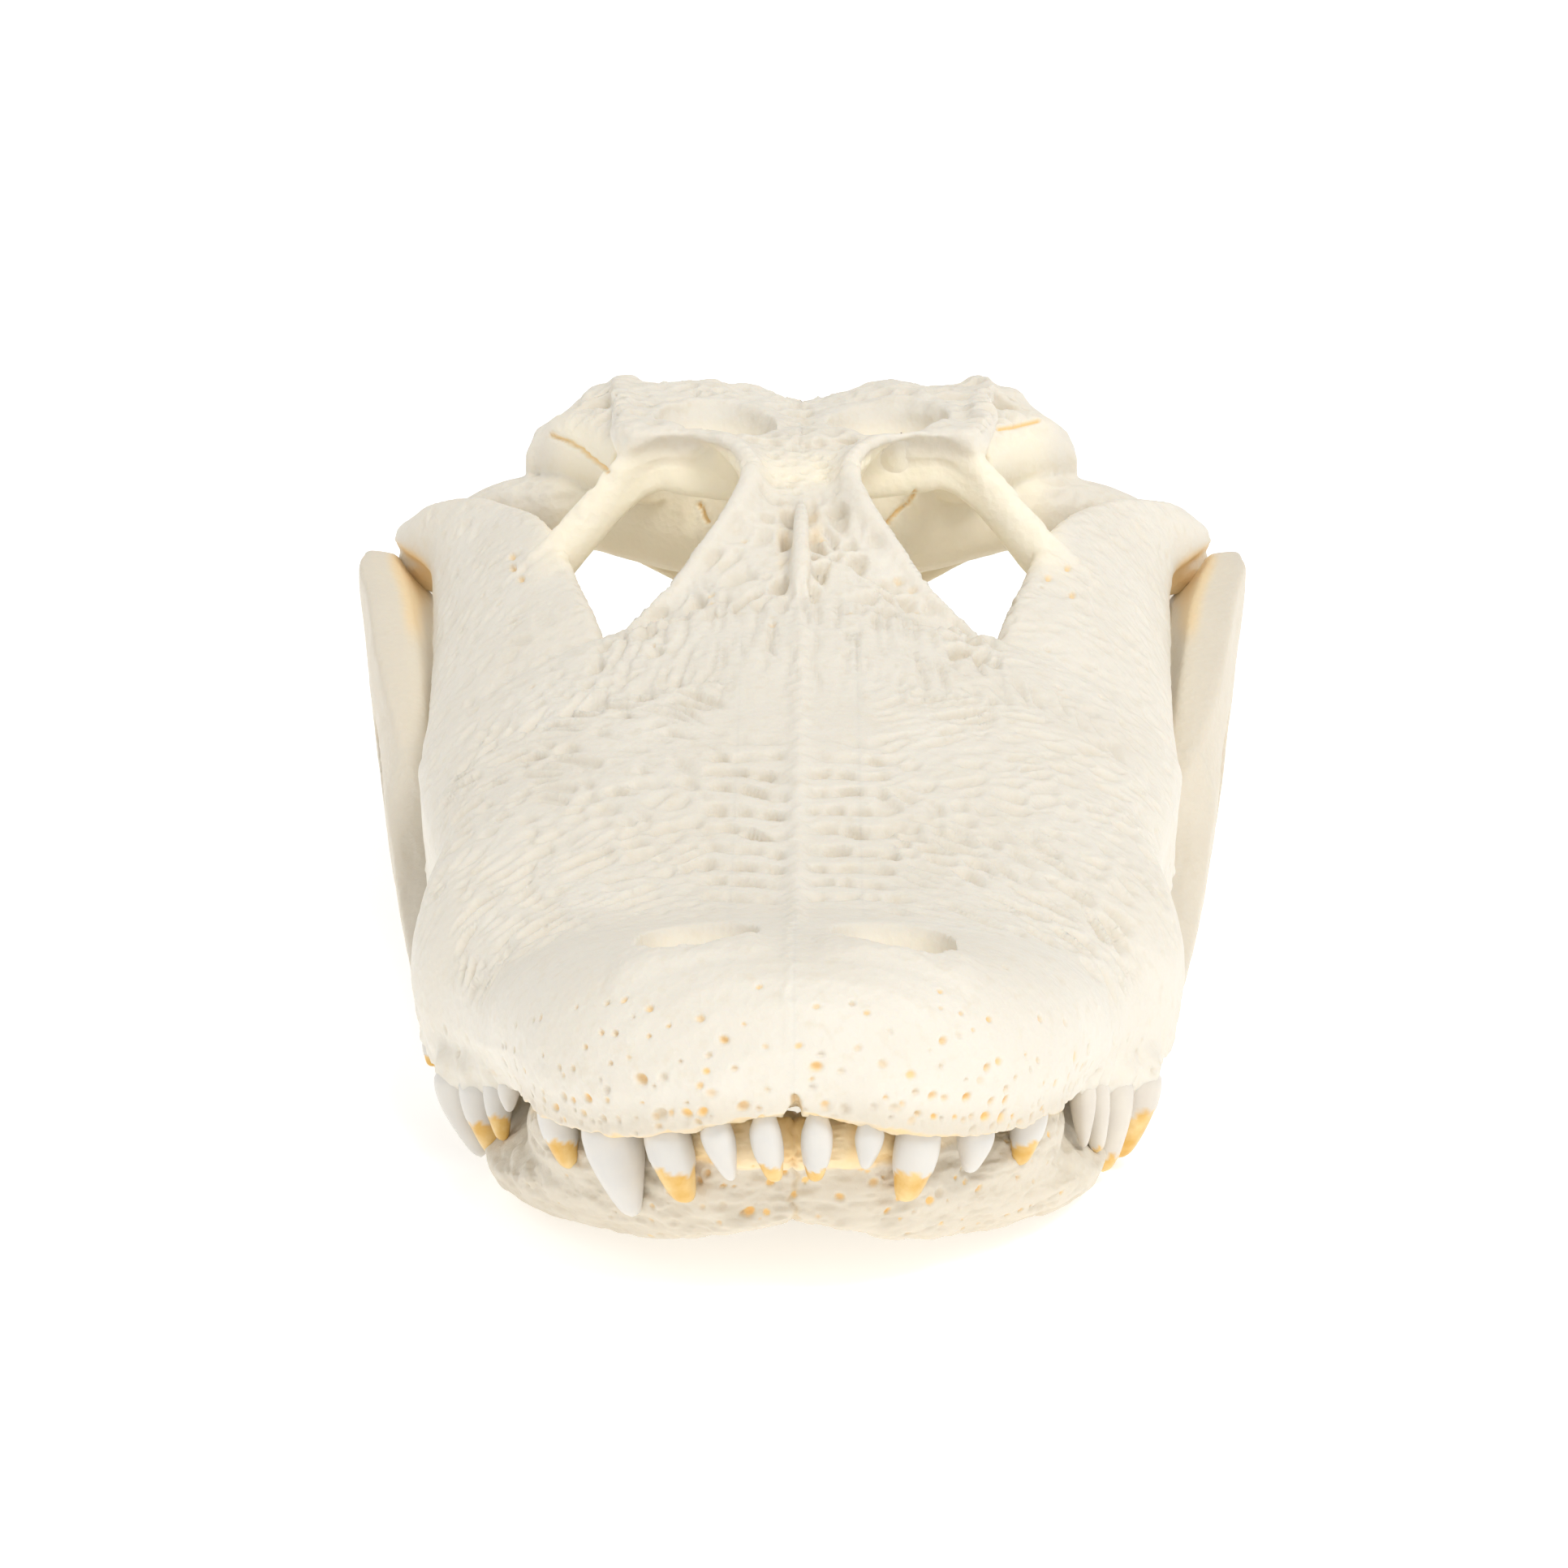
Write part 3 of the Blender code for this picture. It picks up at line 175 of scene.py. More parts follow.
RAMUS_WIDE_X = (
    (3.8, 4.4), (5.0, 6.6), (6.5, 8.6), (8.0, 10.2), (10.0, 12.2), (14.0, 15.0), (18.0, 16.6),
    (20.6, 17.1), (23.0, 17.4), (25.0, 17.6), (30.0, 18.5), (36.0, 20.4), (45.0, 22.9),
    (55.0, 24.8), (62.0, 26.1), (70.0, 27.7), (80.0, 29.4), (90.0, 30.9), (101.0, 32.3),
    (104.0, 32.2), (108.0, 30.6),
)
RAMUS_WIDE_Z = (
    (3.8, -4.2), (6.0, -5.3), (10.0, -6.4), (15.0, -7.4), (20.0, -8.2), (30.0, -8.4), (45.0, -7.9),
    (55.0, -7.3), (62.0, -5.4), (70.0, -1.6), (80.0, 1.0), (90.0, 3.5), (101.0, 6.4), (108.0, 2.6),
)
RAMUS_BASE_X = (
    (3.8, 2.6), (5.0, 4.6), (8.0, 7.4), (12.0, 10.4), (16.0, 13.0), (20.0, 14.6), (25.0, 15.6),
    (30.0, 16.4), (40.0, 19.4), (50.0, 22.0), (60.0, 24.0), (70.0, 25.6), (80.0, 27.0),
    (90.0, 28.6), (100.0, 29.4), (108.0, 28.6),
)
RAMUS_BASE_Z = (
    (3.8, -6.2), (5.0, -7.1), (8.0, -8.2), (12.0, -9.1), (16.0, -9.8), (22.0, FLOOR_Z),
    (74.0, FLOOR_Z), (80.0, -10.2), (90.0, -8.4), (100.0, -5.2), (108.0, -1.2),
)
RAMUS_INNER_X = (
    (3.8, -0.8), (16.4, -0.8), (19.0, 4.6), (22.0, 8.2), (25.0, 10.8), (30.0, 12.8), (36.0, 14.2),
    (45.0, 15.0), (55.0, 17.4), (62.0, 19.2), (70.0, 22.2), (80.0, 24.2), (90.0, 25.8),
    (101.0, 27.2), (108.0, 27.4),
)
RAMUS_INNER_RISE = ((3.8, 0.95), (14.0, 0.9), (19.0, 0.75), (108.0, 0.75))
RAMUS_SPAN = (3.8, 108.0)
WINDOW_CENTRE = (81.0, -0.6)
WINDOW_HALF_LENGTH = 6.6
WINDOW_HALF_HEIGHT = 2.7
WINDOW_TILT = 1.0
WINDOW_SIDES = 28

# The form of a tooth: its girth down its length, as (share of the length, share of the radius)
ROOT_DEPTH = 1.6
ROOT_GIRTH = 0.3
ROOT_RISE = 0.15  # of a tooth's neck above the jaw's edge
TOOTH_SIDES = 24
TOOTH_LEVELS = 22
TIP_CROWDING = 1.4  # above 1, the levels lie closer together towards the tip
TOOTH_BEND = 1.3  # above 1, the tip leans more than the neck
POINTED_GIRTH = (
    (0.0, 0.98), (0.12, 1.0), (0.3, 0.95), (0.5, 0.83), (0.7, 0.65), (0.86, 0.45), (0.95, 0.28),
    (1.0, 0.03),
)
WORN_GIRTH = (
    (0.0, 0.98), (0.12, 1.0), (0.3, 0.99), (0.5, 0.93), (0.7, 0.8), (0.86, 0.62), (0.95, 0.42),
    (1.0, 0.04),
)
CORE_GIRTH = 0.93  # of a worn tooth's amber core to its enamel
STAIN_EDGE = 0.04  # share of the length over which a stain begins
FRONT_TINT = 0.03  # share of amber in the clean enamel
REAR_TINT = {"right": 0.15, "left": 0.05}

# Teeth: front ones as (x, y, length, radius, clean share, lean of the tip away from the middle),
# rear ones as (length, radius, clean share, lean) at places along the jaw; beyond its clean share
# a tooth is worn and stained amber
WHITE = 1.3  # a clean share that leaves a tooth white and pointed
FRONT_TEETH = {
    "right": (
        (1.15, 1.4, 2.8, 0.78, 0.68, -0.1), (3.75, 1.7, 2.1, 0.72, WHITE, -0.2),
        (6.2, 3.1, 3.7, 1.15, 0.5, -0.6), (9.2, 5.0, 2.5, 0.95, WHITE, -0.3),
        (12.2, 9.4, 3.2, 0.92, 0.52, -0.6),
    ),
    "left": (
        (1.45, 1.4, 2.8, 0.8, 0.6, -0.5), (3.85, 1.7, 2.7, 0.85, WHITE, -0.7),
        (6.4, 3.2, 3.8, 1.2, 0.45, -0.9), (9.3, 5.6, 5.1, 1.55, WHITE, -1.0),
        (12.4, 9.4, 3.4, 0.98, 0.48, -0.7),
    ),
}
REAR_PLACES = (
    18.4, 20.4, 22.6, 25.2, 28.8, 32.4, 35.6, 38.6, 41.8, 45.4, 49.2, 53.2, 57.0, 60.8, 64.2,
)
REAR_TEETH = {
    "right": (
        (3.4, 0.72, WHITE, 0.1), (3.7, 0.75, 0.9, 0.1), (4.9, 1.15, 0.78, -0.5), (4.7, 1.45, 0.36, -1.0),
        (0.5, 0.4, WHITE, 0.0), (1.3, 0.6, WHITE, -0.2), (1.8, 0.7, WHITE, 0.2), (1.8, 0.7, 0.6, 0.2),
        (2.1, 0.8, WHITE, 0.2), (2.3, 0.95, 0.6, 0.2), (2.2, 1.0, 0.7, 0.2), (1.9, 0.95, WHITE, 0.2),
        (1.6, 0.85, 0.6, 0.1), (1.3, 0.8, WHITE, 0.1), (1.0, 0.7, WHITE, 0.1),
    ),
    "left": (
        (1.4, 0.6, WHITE, 0.0), (3.0, 0.75, 0.5, -0.3), (4.1, 1.2, 0.46, -0.9), (4.7, 1.3, WHITE, -1.3),
        (0.9, 0.5, 0.1, 0.0), (2.0, 0.78, 0.6, 0.2), (1.9, 0.7, WHITE, 0.2), (1.7, 0.7, WHITE, 0.2),
        (2.2, 0.82, 0.6, 0.2), (2.2, 0.95, WHITE, 0.2), (2.3, 1.0, 0.6, 0.2), (1.8, 0.95, WHITE, 0.2),
        (1.5, 0.85, 0.7, 0.1), (1.3, 0.8, WHITE, 0.1), (1.1, 0.7, WHITE, 0.1),
    ),
}

# How far inside the jaw's edge a rear tooth is: a distance by its place, and a share of its radius
TOOTH_INSET = ((18.0, 0.2), (25.2, 0.2), (28.8, 1.1), (64.2, 1.1))
TOOTH_INSET_SHARE = 0.3

# The lower teeth, with the large ones by their numbers in the row
LOWER_PLACES = (
    6.0, 8.2, 10.6, 13.2, 16.6, 19.6, 22.6, 25.4, 28.2, 31.0, 34.0, 37.0, 40.2, 43.6, 47.0, 50.4,
    54.0, 57.6,
)
LOWER_LARGE_TEETH = (0, 3, 12)
LARGE_TOOTH = (2.5, 0.95)  # length and radius
SMALL_TOOTH = (1.9, 0.7)

# The camera, in skull units and degrees, at the photograph's viewing angle
CAMERA_PLACE = (1.03, -182.0, 63.4)
CAMERA_DOWN = 14.0
CAMERA_ROLL_Z = 0.48
PHOTO_WIDTH = 1932.0
FOCAL_PIXELS = 4800.0
SENSOR_MM = 36.0

# The rows of pits beside the snout's middle
RUNG_SPACING = 2.35
RUNG_PIT_WIDTH = 1.75
RUNG_DEPTH = 0.85

# Heights of the surface's raised forms and depths of its sunken ones
SEAM_HEIGHT = 0.28
FRONT_SEAM_HEIGHT = 0.08
CREST_HEIGHT = 0.45
SOCKET_RIM_HEIGHT = 0.35
TABLE_RIM_HEIGHT = 0.3
TABLE_ROUGHNESS = 0.7
NOSTRIL_RIM_HEIGHT = 0.3
NOSTRIL_RIM_ROUGHNESS = 0.15
LIP_ROUGHNESS = 0.24
REAR_LIP_ROUGHNESS = 0.16
BEAD_HEIGHT = 0.13
NOTCH_DEPTH = 0.9
MARK_DEPTH = 0.25
CHIN_RIPPLE_DEPTH = 0.26
CHIN_SEAM_DEPTH = 0.2
BLADE_STREAK_DEPTH = 0.06
UNEVENNESS = 0.05  # in small bumps over all of the bone
UPPER_WAVES = 0.2  # in broad swells
LOWER_WAVES = 0.12

# Factors that scramble the numbers of a cell into a random one
CELL_FACTORS = (np.uint32(73856093), np.uint32(19349663), np.uint32(83492791))
SCRAMBLE_FACTORS = (np.uint32(2246822519), np.uint32(3266489917))
SEED_FACTOR = 2654435761

# Marks at places that the photograph shows, as paths of its pixels
CRACKS = (
    ((679, 535), (692, 541), (704, 546), (715, 552), (724, 561), (735, 570), (749, 581)),
    ((1232, 528), (1248, 526), (1264, 522), (1280, 518)),
    ((861, 620), (866, 628), (868, 637), (872, 642)),
    ((1093, 645), (1100, 636), (1108, 628), (1118, 620), (1128, 606)),
)
CRACK_HALF_WIDTH = 2.2  # in pixels
CHEEK_SPOTS = ((631, 686), (632, 700), (642, 713), (1292, 712), (1316, 700), (1322, 733))

# Pores
PORE_STRETCH = 1.35  # length of an oval pore over its width
# Painted shade darkens the bottom of each pore by this share
PAINTED_PORE_SHADE = 0.12
LEAST_CHANCE = 1e-9  # of a pore outside its region

# Colours, in pairs where the material has blotches of two
IVORY = ((0.79, 0.735, 0.63), (0.82, 0.77, 0.67))
SPECKS = (0.77, 0.70, 0.57)
# The bone's own cream colour inside, and also painted bounce light where walls and undersides lie in
# shade
CREAM_AND_BOUNCE_LIGHT = (0.98, 0.89, 0.70)
# Painted shade for the hollows, the pores, the lip's underside and all of the lower jaw
PAINTED_HOLLOW_SHADE = (0.69, 0.615, 0.49)
AMBER = (0.94, 0.65, 0.27)
ENAMEL_WHITE = ((0.69, 0.675, 0.64), (0.72, 0.695, 0.645))
ENAMEL_AMBER = ((0.73, 0.43, 0.09), (0.86, 0.62, 0.27))
FLOOR_SHADE = 0.95
FLOOR_HALF_SIDE = 20.0  # metres

# Light; the lamps are (name, strength, softness, tilt from straight down, turn), with degrees
WORLD_STRENGTH = 0.7
FLOOR_GLOW = 0.4
LAMPS = (
    ("soft_key", 1.16, 24.0, 35.0, 38.0),
    ("front_fill", 0.2, 70.0, 74.0, 6.0),
)

UPPER_NODES = (
    "premaxilla_left", "premaxilla_right", "maxilla_left", "maxilla_right", "nasals", "frontal",
    "palatines", "jugal_left", "jugal_right", "skull_table", "braincase", "quadrate_left",
    "quadrate_right", "pterygoids",
)
LOWER_NODES = ("dentary_left", "dentary_right", "angular_left", "angular_right")


def to_world(point):
    """A place in skull units as a place in metres."""
    x, y, z = point
    return Vector((x * UNIT, (y - MIDDLE_Y) * UNIT, (z - FLOOR_Z) * UNIT))


def at(pairs, place):
    """Value or values on a smooth curve through (place, value) pairs, with no overshoot."""
    places, values = np.array(pairs, float).T
    place = np.clip(place, places[0], places[-1])
    steps = np.diff(places)
    rises = np.diff(values) / steps
    slopes = np.concatenate(([rises[0]], np.zeros(len(rises) - 1), [rises[-1]]))
    before, after = rises[:-1], rises[1:]
    alike = before * after > 0.0
    slopes[1:-1][alike] = (2.0 * before * after)[alike] / (before + after)[alike]
    index = np.clip(np.searchsorted(places, place, side="right") - 1, 0, len(steps) - 1)
    width = steps[index]
    t = (place - places[index]) / width
    return (
        values[index] * (1 + 2 * t) * (1 - t) ** 2
        + slopes[index] * width * t * (1 - t) ** 2
        + values[index + 1] * t * t * (3 - 2 * t)
        + slopes[index + 1] * width * t * t * (t - 1)
    )


def stations(span):
    """Places along the skull at which a form gets a ring."""
    low, high = span
    return np.linspace(low, high, int((high - low) / STATION_STEP) + 2)


def spline(points, count):
    """Evenly spaced rows of numbers along a smooth open curve through the given rows."""
    points = np.array(points, float)
    lengths = np.linalg.norm(np.diff(points[:, :3], axis=0), axis=1)
    places = np.concatenate(([0.0], np.cumsum(lengths)))
    wanted = np.linspace(0.0, places[-1], count)
    return np.stack([at(list(zip(places, column)), wanted) for column in points.T], axis=1)


def softened(ring, share=0.14, rounds=2):
    """A ring of places with its corners cut off, each time at a share of the sides."""
    ring = np.array(ring, float)
    for _ in range(rounds):
        following = np.roll(ring, -1, axis=0)
        near = ring * (1.0 - share) + following * share
        far = ring * share + following * (1.0 - share)
        ring = np.stack([near, far], axis=1).reshape(-1, 3)
        share = 0.25
    return ring


def in_scene(name, data):
    """An object that holds the data, put in the scene."""
    made = bpy.data.objects.new(name, data)
    bpy.context.scene.collection.objects.link(made)
    return made


def new_object(name, mesh):
    """An object in the scene from a bmesh, which is freed."""
    data = bpy.data.meshes.new(name)
    mesh.to_mesh(data)
    mesh.free()
    return in_scene(name, data)


def skin(mesh, layers):
    """Faces between closed rings of points, and one over each end."""
    count = len(layers[0])
    for lower, upper in zip(layers, layers[1:]):
        for index in range(count):
            following = (index + 1) % count
            mesh.faces.new((lower[index], lower[following], upper[following], upper[index]))
    mesh.faces.new(tuple(reversed(layers[0])))
    mesh.faces.new(tuple(layers[-1]))


def loft(name, rings):
    """A closed object skinned over rings that have equally many points."""
    mesh = bmesh.new()
    skin(mesh, [[mesh.verts.new(to_world(point)) for point in ring] for ring in rings])
    bmesh.ops.triangulate(mesh, faces=mesh.faces[:])
    if mesh.calc_volume(signed=True) < 0.0:
        bmesh.ops.reverse_faces(mesh, faces=mesh.faces[:])
    return new_object(name, mesh)


def rounded(angle, power):
    """Cosine and sine of an angle on a circle squared up by a power above two."""
    right, rise = math.cos(angle), math.sin(angle)
    return (
        math.copysign(abs(right) ** (2.0 / power), right),
        math.copysign(abs(rise) ** (2.0 / power), rise),
    )


def bar(name, stops, sides=20, power=2.0, up=(0.0, 0.0, 1.0)):
    """A rounded bar along a smooth path of (x, y, z, width, height) stops."""
    path = spline(stops, 5 * len(stops))
    rings = []
    for index, (x, y, z, width, height) in enumerate(path):
        ahead = Vector(path[min(index + 1, len(path) - 1)][:3])
        behind = Vector(path[max(index - 1, 0)][:3])
        along = (ahead - behind).normalized()
        across = along.cross(Vector(up)).normalized()
        over = across.cross(along)
        ring = []
        for side in range(sides):
            right, rise = rounded(2.0 * math.pi * (side + 0.5) / sides, power)
            ring.append(Vector((x, y, z)) + across * right * width / 2.0 + over * rise * height / 2.0)
        rings.append(ring)
    return loft(name, rings)


def prism(name, outline, low, high, axis):
    """A flat outline pushed through from low to high along one axis."""
    placed = {
        "X": lambda a, b, depth: (depth, a, b),
        "Y": lambda a, b, depth: (a, depth, b),
    }[axis]
    return loft(name, [[placed(a, b, depth) for a, b in outline] for depth in (low, high)])


def mirror_copy(source, name):
    """A copy of an object on the other side of the midline."""
    mesh = bmesh.new()
    mesh.from_mesh(source.data)
    for vertex in mesh.verts:
        vertex.co.x = -vertex.co.x
    bmesh.ops.reverse_faces(mesh, faces=mesh.faces[:])
    return new_object(name, mesh)


def both_sides(piece):
    """A piece and its mirror image."""
    return [piece, mirror_copy(piece, piece.name + "_other")]


def remove(objects):
    """Take objects out of the file."""
    for thing in objects:
        bpy.data.objects.remove(thing, do_unlink=True)


def apply_modifiers(thing):
    """Give an object the mesh that its modifiers make."""
    evaluated = thing.evaluated_get(bpy.context.evaluated_depsgraph_get())
    result = bpy.data.meshes.new_from_object(evaluated)
    thing.modifiers.clear()
    thing.data = result


def combine(base, others, operation):
    """Join the others to the base, or cut it by them, and leave only the base."""
    group = bpy.data.collections.new("group")
    bpy.context.scene.collection.children.link(group)
    for other in others:
        group.objects.link(other)
    modifier = base.modifiers.new(operation.lower(), "BOOLEAN")
    modifier.operation = operation
    modifier.operand_type = "COLLECTION"
    modifier.collection = group
    modifier.solver = "MANIFOLD"
    apply_modifiers(base)
    remove(others)
    bpy.data.collections.remove(group)
    return base


# Forms of the upper skull


def snout():
    """The solid snout, from its blunt tip to the front of the eye sockets."""
    rings = []
    for y in stations(SNOUT_SPAN):
        half = at(JAW_HALF_WIDTH, y)
        wall = half + at(WALL_SWELL, y)
        edge = at(TOOTH_EDGE_Z, y)
        top = at(SNOUT_TOP_Z, y)
        widest = max(at(WIDEST_Z, y), edge + 0.8)
        palate_z = edge + at(PALATE_RISE, y)
        ridge = min(RIDGE_WIDTH, half * 0.45)
        ring = [(half - 0.5, y, edge)]
        for step in range(SNOUT_ARC_STEPS + 1):
            across, rise = rounded(math.pi * step / SNOUT_ARC_STEPS, at(ROUNDNESS, y))
            ring.append((wall * across, y, widest + (top - widest) * abs(rise)))
        ring += [(0.5 - half, y, edge), (ridge - half, y, edge + 0.2), (ridge * 1.5 - half, y, palate_z)]
        ring.append((0.0, y, palate_z + 0.3))
        ring += [(half - ridge * 1.5, y, palate_z), (half - ridge, y, edge + 0.2)]
        rings.append(ring)
    return loft("snout", rings)


def rear_tooth_ridges():
    """The tooth-bearing edges that run on behind the solid snout."""
    stops = []
    for y in (58.0, 62.0, 65.5):
        stops.append((at(JAW_HALF_WIDTH, y) - 2.0, y, at(TOOTH_EDGE_Z, y) + 2.2, 3.0, 4.4))
    stops.append((23.0, 69.5, 2.8, 2.4, 2.6))
    return both_sides(bar("tooth_ridge", stops, power=2.6))


def brow():
    """The bar between the eye sockets, with raised rims, widening into the snout."""
    rings = []
    for y in stations(BROW_SPAN):
        half = at(BROW_HALF_WIDTH, y)
        rim = at(BROW_RIM_Z, y)
        middle = at(BROW_MIDDLE_Z, y)
        under = at(BROW_UNDER_Z, y)
        right = [
            (0.0, y, middle),
            (half * 0.45, y, middle * 0.75 + rim * 0.25 - 0.1),
            (half * 0.8, y, rim + 0.1),
            (half, y, rim - 0.4),
            (half * 0.94, y, rim * 0.6 + under * 0.4),
            (half * 0.62, y, under + 0.4),
        ]
        left = [(-x, y, z) for x, y, z in reversed(right[1:])]
        rings.append(softened(right + [(0.0, y, under)] + left))
    return loft("brow", rings)


def crest():
    """The narrow ridge that stands up along the middle of the brow."""
    stops = (
        (0.05, 60.4, 14.2, 1.5, 1.4), (0.05, 63.0, 15.8, 1.3, 2.2), (0.0, 66.0, 17.1, 1.0, 2.4),
        (0.0, 69.0, 18.4, 0.8, 2.0), (0.0, 71.2, 19.0, 0.6, 1.0),
    )
    return bar("crest", stops)


def cheek_arches():
    """The slanting plates outside the eye sockets, back to the jaw joints."""
    rings = []
    for y in stations(CHEEK_SPAN):
        top = Vector((at(CHEEK_TOP_X, y), y, at(CHEEK_TOP_Z, y)))
        low = Vector((at(CHEEK_LOW_X, y), y, at(CHEEK_LOW_Z, y)))
        down = (low - top).normalized()
        out = Vector((-down.z, 0.0, down.x))
        thickness = at(CHEEK_THICKNESS, y)
        bulge = at(CHEEK_BULGE, y)
        rings.append(softened([
            top,
            top.lerp(low, 0.25) + out * bulge * 0.75,
            top.lerp(low, 0.55) + out * bulge,
            top.lerp(low, 0.85) + out * bulge * 0.6,
            low,
            low - out * thickness * 0.6 + down * 0.3,
            low - out * thickness - down * 0.6,
            top.lerp(low, 0.55) - out * (thickness - bulge),
            top.lerp(low, 0.12) - out * thickness * 0.9,
            top - out * thickness * 0.4 - down * 0.3,
        ]))
    return both_sides(loft("cheek", rings))


def skull_table():
    """The flat roof over the braincase, a little sunken along its middle."""
    rings = []
    for y in stations(TABLE_SPAN):
        half = at(TABLE_HALF_WIDTH, y)
        top = at(TABLE_TOP_Z, y)
        sag = at(TABLE_SAG, y)
        right = [(half * share, y, top - sag * drop) for share, drop in TABLE_ACROSS]
        right += [(half + 0.1, y, top - 1.2), (half - 0.6, y, TABLE_UNDER_Z)]
        rings.append(softened(right + [(-x, y, z) for x, y, z in reversed(right[1:])]))
    return loft("table", rings)


def socket_bars():
    """The beam behind each eye socket, which turns down as a bar to the cheek."""
    return both_sides(bar("socket_bar", SOCKET_BAR_STOPS, up=(0.0, 1.0, 0.0)))


def occiput():
    """The plate at the back of the skull, out to the wings beside the ear region."""
    half = (
        (0.0, 21.8), (3.4, 22.4), (6.0, 23.0), (13.6, 23.5), (15.5, 22.6), (17.0, 21.2), (19.3, 19.6),
        (19.9, 18.4), (20.0, 16.4), (16.0, 12.6), (9.0, 9.0), (0.0, 6.6),
    )
    outline = half + tuple((-x, z) for x, z in reversed(half[1:-1]))
    wing = (
        (10.5, 86.5, 19.6, 6.0, 6.0), (13.0, 91.0, 19.4, 5.0, 6.4), (16.0, 95.2, 18.9, 4.0, 6.0),
        (18.4, 98.0, 17.9, 3.4, 4.6),
    )
    return [prism("occiput", outline, 96.4, 100.2, "Y")] + both_sides(bar("wing", wing))


def braincase():
    """The box behind the eye sockets, its stem down to the palate and the neck joint's knob."""
    middle = (
        (0.0, 76.4, 17.6, 3.4, 4.0), (0.0, 79.0, 16.4, 7.4, 9.0), (0.0, 84.0, 14.6, 10.4, 15.0),
        (0.0, 90.0, 13.6, 11.6, 17.0), (0.0, 96.0, 13.8, 13.0, 16.0), (0.0, 100.4, 14.4, 12.0, 13.0),
    )
    stem = ((0.0, 92.6, 9.0, 6.4, 8.0), (0.0, 92.8, 4.6, 6.2, 7.4), (0.0, 92.4, 0.4, 8.0, 5.0))
    knob = ((0.0, 98.0, 10.6, 5.4, 5.4), (0.0, 101.6, 10.8, 4.8, 4.8), (0.0, 103.2, 10.9, 3.0, 3.0))
    return [
        bar("box", middle, power=2.6), bar("stem", stem, power=2.6, up=(0.0, 1.0, 0.0)),
        bar("knob", knob),
    ]


def quadrates():
    """The struts that run out and back from the braincase to the jaw joints."""
    stops = (
        (3.4, 88.0, 15.4, 7.0, 9.4), (9.0, 90.8, 15.2, 7.0, 8.2), (15.0, 94.8, 14.8, 8.0, 5.6),
        (20.6, 99.0, 13.4, 9.6, 5.6), (24.8, 103.4, 9.8, 10.6, 6.0), (25.8, 105.6, 8.9, 9.6, 4.4),
    )
    return both_sides(bar("quadrate", stops, power=2.4))


def palate():
    """Palatine bar, wings of the pterygoids, outer struts and pillars in front of the sockets."""
    middle = (
        (0.0, 56.0, 2.2, 8.4, 4.0), (0.0, 64.0, 2.2, 7.2, 3.8), (0.0, 72.0, 1.8, 7.4, 3.8),
        (0.0, 79.0, 1.0, 10.0, 3.6), (0.0, 84.0, 0.9, 14.0, 3.4), (0.0, 92.0, 1.0, 12.0, 3.2),
        (0.0, 95.4, 1.4, 8.0, 2.6),
    )
    wing = (
        (0.0, 86.0, 1.0, 16.0, 3.0), (6.0, 87.2, -0.6, 14.0, 2.2), (11.0, 88.0, -2.8, 11.6, 2.0),
        (15.0, 88.2, -5.0, 9.6, 2.0), (17.2, 88.2, -6.4, 7.6, 2.4),
    )
    strut = (
        (21.4, 69.0, 5.2, 3.6, 3.0), (20.4, 73.5, 3.4, 3.4, 2.4), (17.8, 79.0, 0.0, 3.2, 2.4),
        (15.8, 84.5, -4.4, 3.4, 2.6),
    )
    pillar = ((5.0, 64.2, 14.6, 3.0, 4.0), (4.2, 65.0, 8.0, 2.0, 3.0), (3.4, 65.6, 2.6, 2.6, 4.0))
    return (
        [bar("palatine", middle, power=3.0)]
        + both_sides(bar("pterygoid", wing, power=2.6))
        + both_sides(bar("strut", strut))
        + both_sides(bar("pillar", pillar, up=(0.0, 1.0, 0.0)))
    )


def pit(name, levels, sides=40, power=2.0):
    """A shape that cuts an oval pit, from ((x, y), (half across, half along), z) levels."""
    rounds = [rounded(2.0 * math.pi * (step + 0.5) / sides, power) for step in range(sides)]
    rings = []
    for (x, y), (across, along), z in levels:
        rings.append([(x + across * right, y + along * rise, z) for right, rise in rounds])
    return loft(name, rings)


def openings():
    """What is cut out of the upper skull: nostrils, temple openings, the nose's back end and a
    hole for the spinal cord."""
    nostril = (
        ((4.9, 11.6), (2.9, 4.9), 9.6), ((5.1, 11.4), (3.2, 5.1), 7.4), ((5.1, 10.6), (2.6, 3.2), 4.6),
    )
    temple = (
        ((5.9, 85.3), (4.5, 6.9), 25.0), ((5.9, 85.0), (4.2, 6.4), 23.2),
        ((6.0, 84.2), (3.6, 5.2), 21.4), ((6.5, 83.3), (2.8, 3.8), 19.4),
        ((7.2, 83.4), (2.3, 3.3), 17.0), ((8.2, 83.6), (1.7, 2.8), 14.5),
    )
    chamber = ((5.6, 54.0, 7.4, 5.0, 4.0), (6.0, 60.0, 8.0, 7.6, 6.0), (6.4, 66.0, 8.6, 9.6, 7.6))
    cord_hole = ((0.0, 95.0, 14.6, 2.4, 2.0), (0.0, 104.0, 14.6, 3.0, 2.4))
    return (
        both_sides(pit("nostril", nostril, power=2.8))
        + both_sides(pit("temple", temple))
        + both_sides(bar("chamber", chamber, power=2.4))
        + [bar("cord_hole", cord_hole)]
    )


def upper_skull():
    """Everything above the jaw joint as one closed form."""
    pieces = rear_tooth_ridges() + [brow(), crest()] + cheek_arches() + [skull_table()]
    pieces += socket_bars() + occiput() + braincase() + quadrates() + palate()
    whole = combine(snout(), pieces, "UNION")
    return combine(whole, openings(), "DIFFERENCE")


# Forms of the lower jaw


